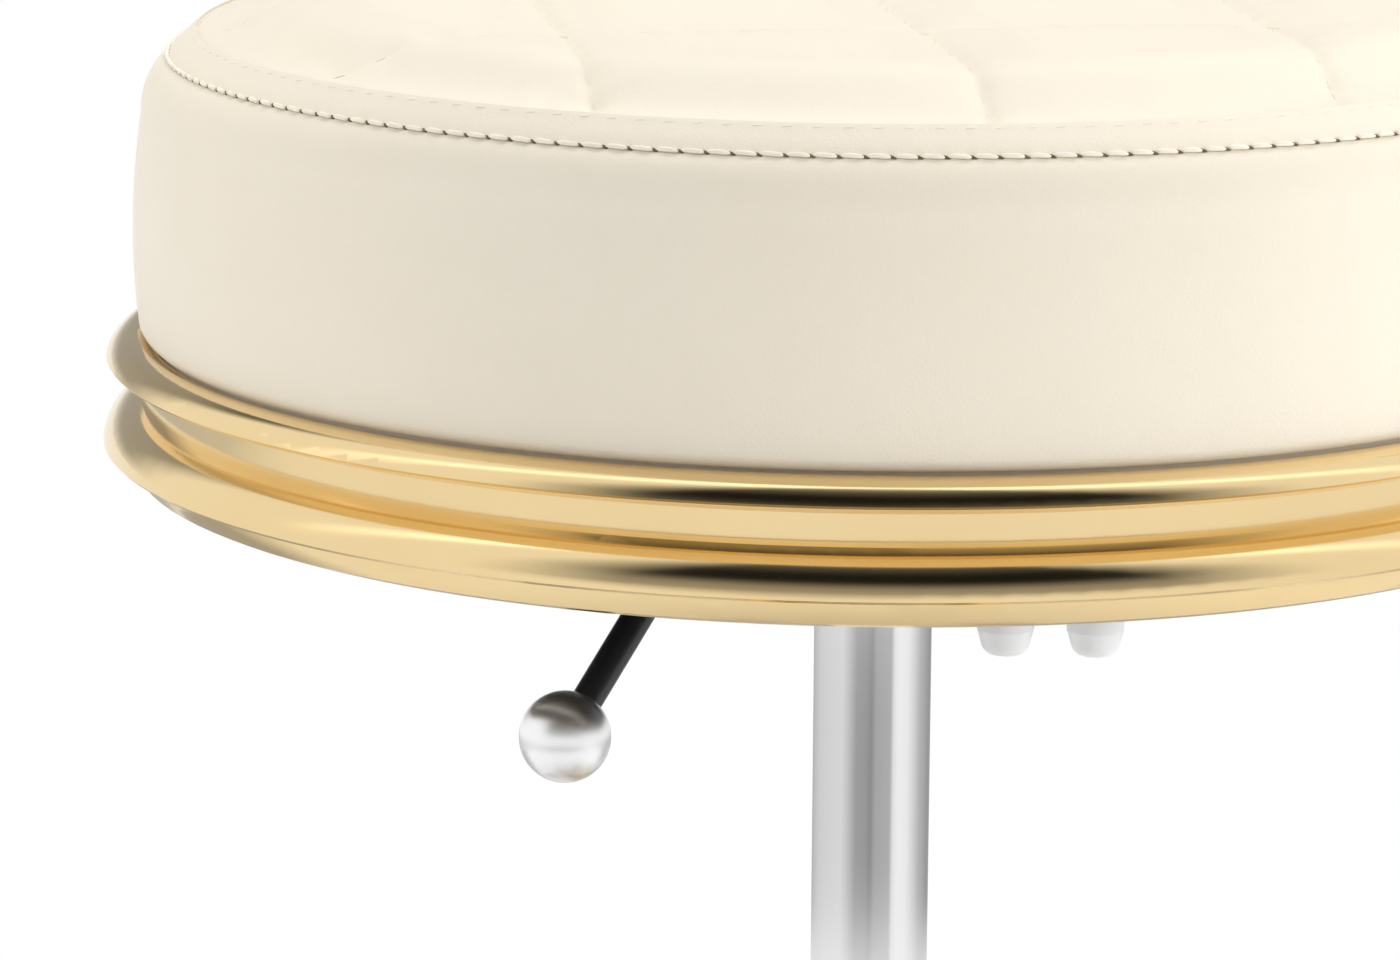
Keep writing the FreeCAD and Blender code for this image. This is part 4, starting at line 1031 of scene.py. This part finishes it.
def curved_card(name, middle, turns, edge, shades):
    """A piece of a sphere around the seat, so many degrees to each side of a direction, with soft edges."""
    low, high = min(shades), max(shades)
    points = []
    cover = []
    shade = []
    for i in range(CARD_STEPS + 1):
        side = turns * (2 * i / CARD_STEPS - 1)
        for j in range(CARD_STEPS + 1):
            rise = low + (high - low) * j / CARD_STEPS
            turn = math.radians(middle + side)
            flat = CARD_R * math.cos(math.radians(rise))
            height = ring_z + CARD_R * math.sin(math.radians(rise))
            points.append((flat * math.sin(turn), -flat * math.cos(turn), height))
            cover.append(min(1.0, (turns - abs(side)) / edge))
            shade.append(float(np.interp(rise, list(shades), list(shades.values()))))
    return stand_card(name, points, cover, shade, CARD_STEPS)


curved_card("front_card", FRONT_MIDDLE, FRONT_TURNS, FRONT_EDGE, FRONT_SHADES)
curved_card("back_card", BACK_MIDDLE, BACK_TURNS, BACK_EDGE, BACK_SHADES)
print("cards overhead:", FRONT_TURNS, "and", BACK_TURNS, "degrees to each side")

# %% [markdown]
# ## The hoop and the floor cards
# A strip of light that arches over the seat draws a thin bright line along each rounded step. On the floor,
# a wide grey ring stripes the lift tube, whose sides mirror the floor far out. A second, nearer part of a
# ring behind the stool gives the ball knob its darker rim.

# %% The bright hoop overhead
HOOP_HALF_WIDTH = 0.40
HOOP_STRENGTH = 1.9
HOOP_END = 12
HOOP_FADE = 50


def bright_hoop():
    """A strip of light from one side over the top to the other, brightest along its middle."""
    points = []
    cover = []
    for i in range(CARD_STEPS + 1):
        rise = HOOP_END + (180 - 2 * HOOP_END) * i / CARD_STEPS
        turn = math.radians(rise)
        flat, height = CARD_R * math.cos(turn), ring_z + CARD_R * math.sin(turn)
        end = min(1.0, min(rise - HOOP_END, 180 - HOOP_END - rise) / HOOP_FADE)
        for j in range(CARD_STEPS + 1):
            side = 2 * j / CARD_STEPS - 1
            points.append((-flat, HOOP_HALF_WIDTH * side, height))
            cover.append(end * math.cos(math.pi / 2 * side) ** 2)
    return stand_card("bright_hoop", points, cover, [HOOP_STRENGTH] * len(points), CARD_STEPS)


bright_hoop()
print("hoop:", 2 * HOOP_HALF_WIDTH, "m wide")

# %% The grey cards on the floor
CARD_LIFT = 2 * MM
FLOOR_CARD_TURNS = (-180, 180)
FLOOR_CARD_REACH = (1.05, 2.0)
FLOOR_CARD_STEPS = 180
FLOOR_CARD_EDGE = 6
NEAR_TURNS = (100, 260)
NEAR_REACH = (0.30, 1.05)
NEAR_SIDE_EDGE = 8
NEAR_INNER_EDGE = 4
NEAR_SHADE = 0.45
# How bright the floor card is in each direction around the stool, in degrees from the front
FLOOR_SHADES = {
    -180: 0.40, -120: 0.66, -60: 0.72, -46: 0.56, -30: 0.33, -10: 0.30, 0: 0.24, 8: 0.37,
    38: 0.43, 44: 0.80, 55: 0.92, 75: 0.88, 110: 0.48, 147: 0.32, 180: 0.40,
}


def flat_card(name, turns, reach, steps, cover_at, shade_at):
    """Part of a flat ring just above the floor, between two directions in degrees from the front.

    cover_at takes how far along and how far out a point is, from 0 to 1. shade_at takes its direction.
    """
    points = []
    cover = []
    shade = []
    for i in range(steps + 1):
        direction = turns[0] + (turns[1] - turns[0]) * i / steps
        turn = math.radians(direction)
        for j in range(steps + 1):
            out = reach[0] + (reach[1] - reach[0]) * j / steps
            points.append((out * math.sin(turn), -out * math.cos(turn), CARD_LIFT))
            cover.append(float(cover_at(i / steps, j / steps)))
            shade.append(float(shade_at(direction)))
    return stand_card(name, points, cover, shade, steps)


def both_edges(share, steepness):
    """0 at both edges, and 1 from a little way in."""
    return np.clip(steepness * min(share, 1 - share), 0, 1)


flat_card(
    "floor_card",
    FLOOR_CARD_TURNS,
    FLOOR_CARD_REACH,
    FLOOR_CARD_STEPS,
    cover_at=lambda along, out: both_edges(out, FLOOR_CARD_EDGE),
    shade_at=lambda direction: np.interp(direction, list(FLOOR_SHADES), list(FLOOR_SHADES.values())),
)
flat_card(
    "near_card",
    NEAR_TURNS,
    NEAR_REACH,
    CARD_STEPS,
    cover_at=lambda along, out: both_edges(along, NEAR_SIDE_EDGE) * np.clip(NEAR_INNER_EDGE * out, 0, 1),
    shade_at=lambda direction: NEAR_SHADE,
)
print("cards for reflections:", card_material.users)

# %% [markdown]
# ## The camera
# The camera stands in front of the seat and above it, with a long lens, as for a picture of a detail. It
# looks slightly down and a little to the left, so that the seat runs out of the picture at the right.

# %% The camera
CAMERA_PLACE = Vector((0, -1.28975, ring_z + 0.26928))
CAMERA_YAW = -0.0321
CAMERA_PITCH = 0.2103
CAMERA_ROLL = -0.0061
LENS_MM = 143.1
forward = Vector((
    math.sin(CAMERA_YAW) * math.cos(CAMERA_PITCH),
    math.cos(CAMERA_YAW) * math.cos(CAMERA_PITCH),
    -math.sin(CAMERA_PITCH),
))
level_right = Vector((math.cos(CAMERA_YAW), -math.sin(CAMERA_YAW), 0))
level_down = forward.cross(level_right)
right = level_right * math.cos(CAMERA_ROLL) + level_down * math.sin(CAMERA_ROLL)
up = level_right * math.sin(CAMERA_ROLL) - level_down * math.cos(CAMERA_ROLL)
lens = bpy.data.cameras.new("photo_camera")
lens.lens = LENS_MM
lens.sensor_width = 36
lens.sensor_fit = "HORIZONTAL"
camera = bpy.data.objects.new("photo_camera", lens)
bpy.context.scene.collection.objects.link(camera)
turn = Matrix((right, up, -forward)).transposed().to_4x4()
camera.matrix_world = Matrix.Translation(CAMERA_PLACE) @ turn
bpy.context.scene.camera = camera
bpy.context.scene.view_settings.view_transform = "Standard"
print("camera at", [round(c, 3) for c in CAMERA_PLACE])
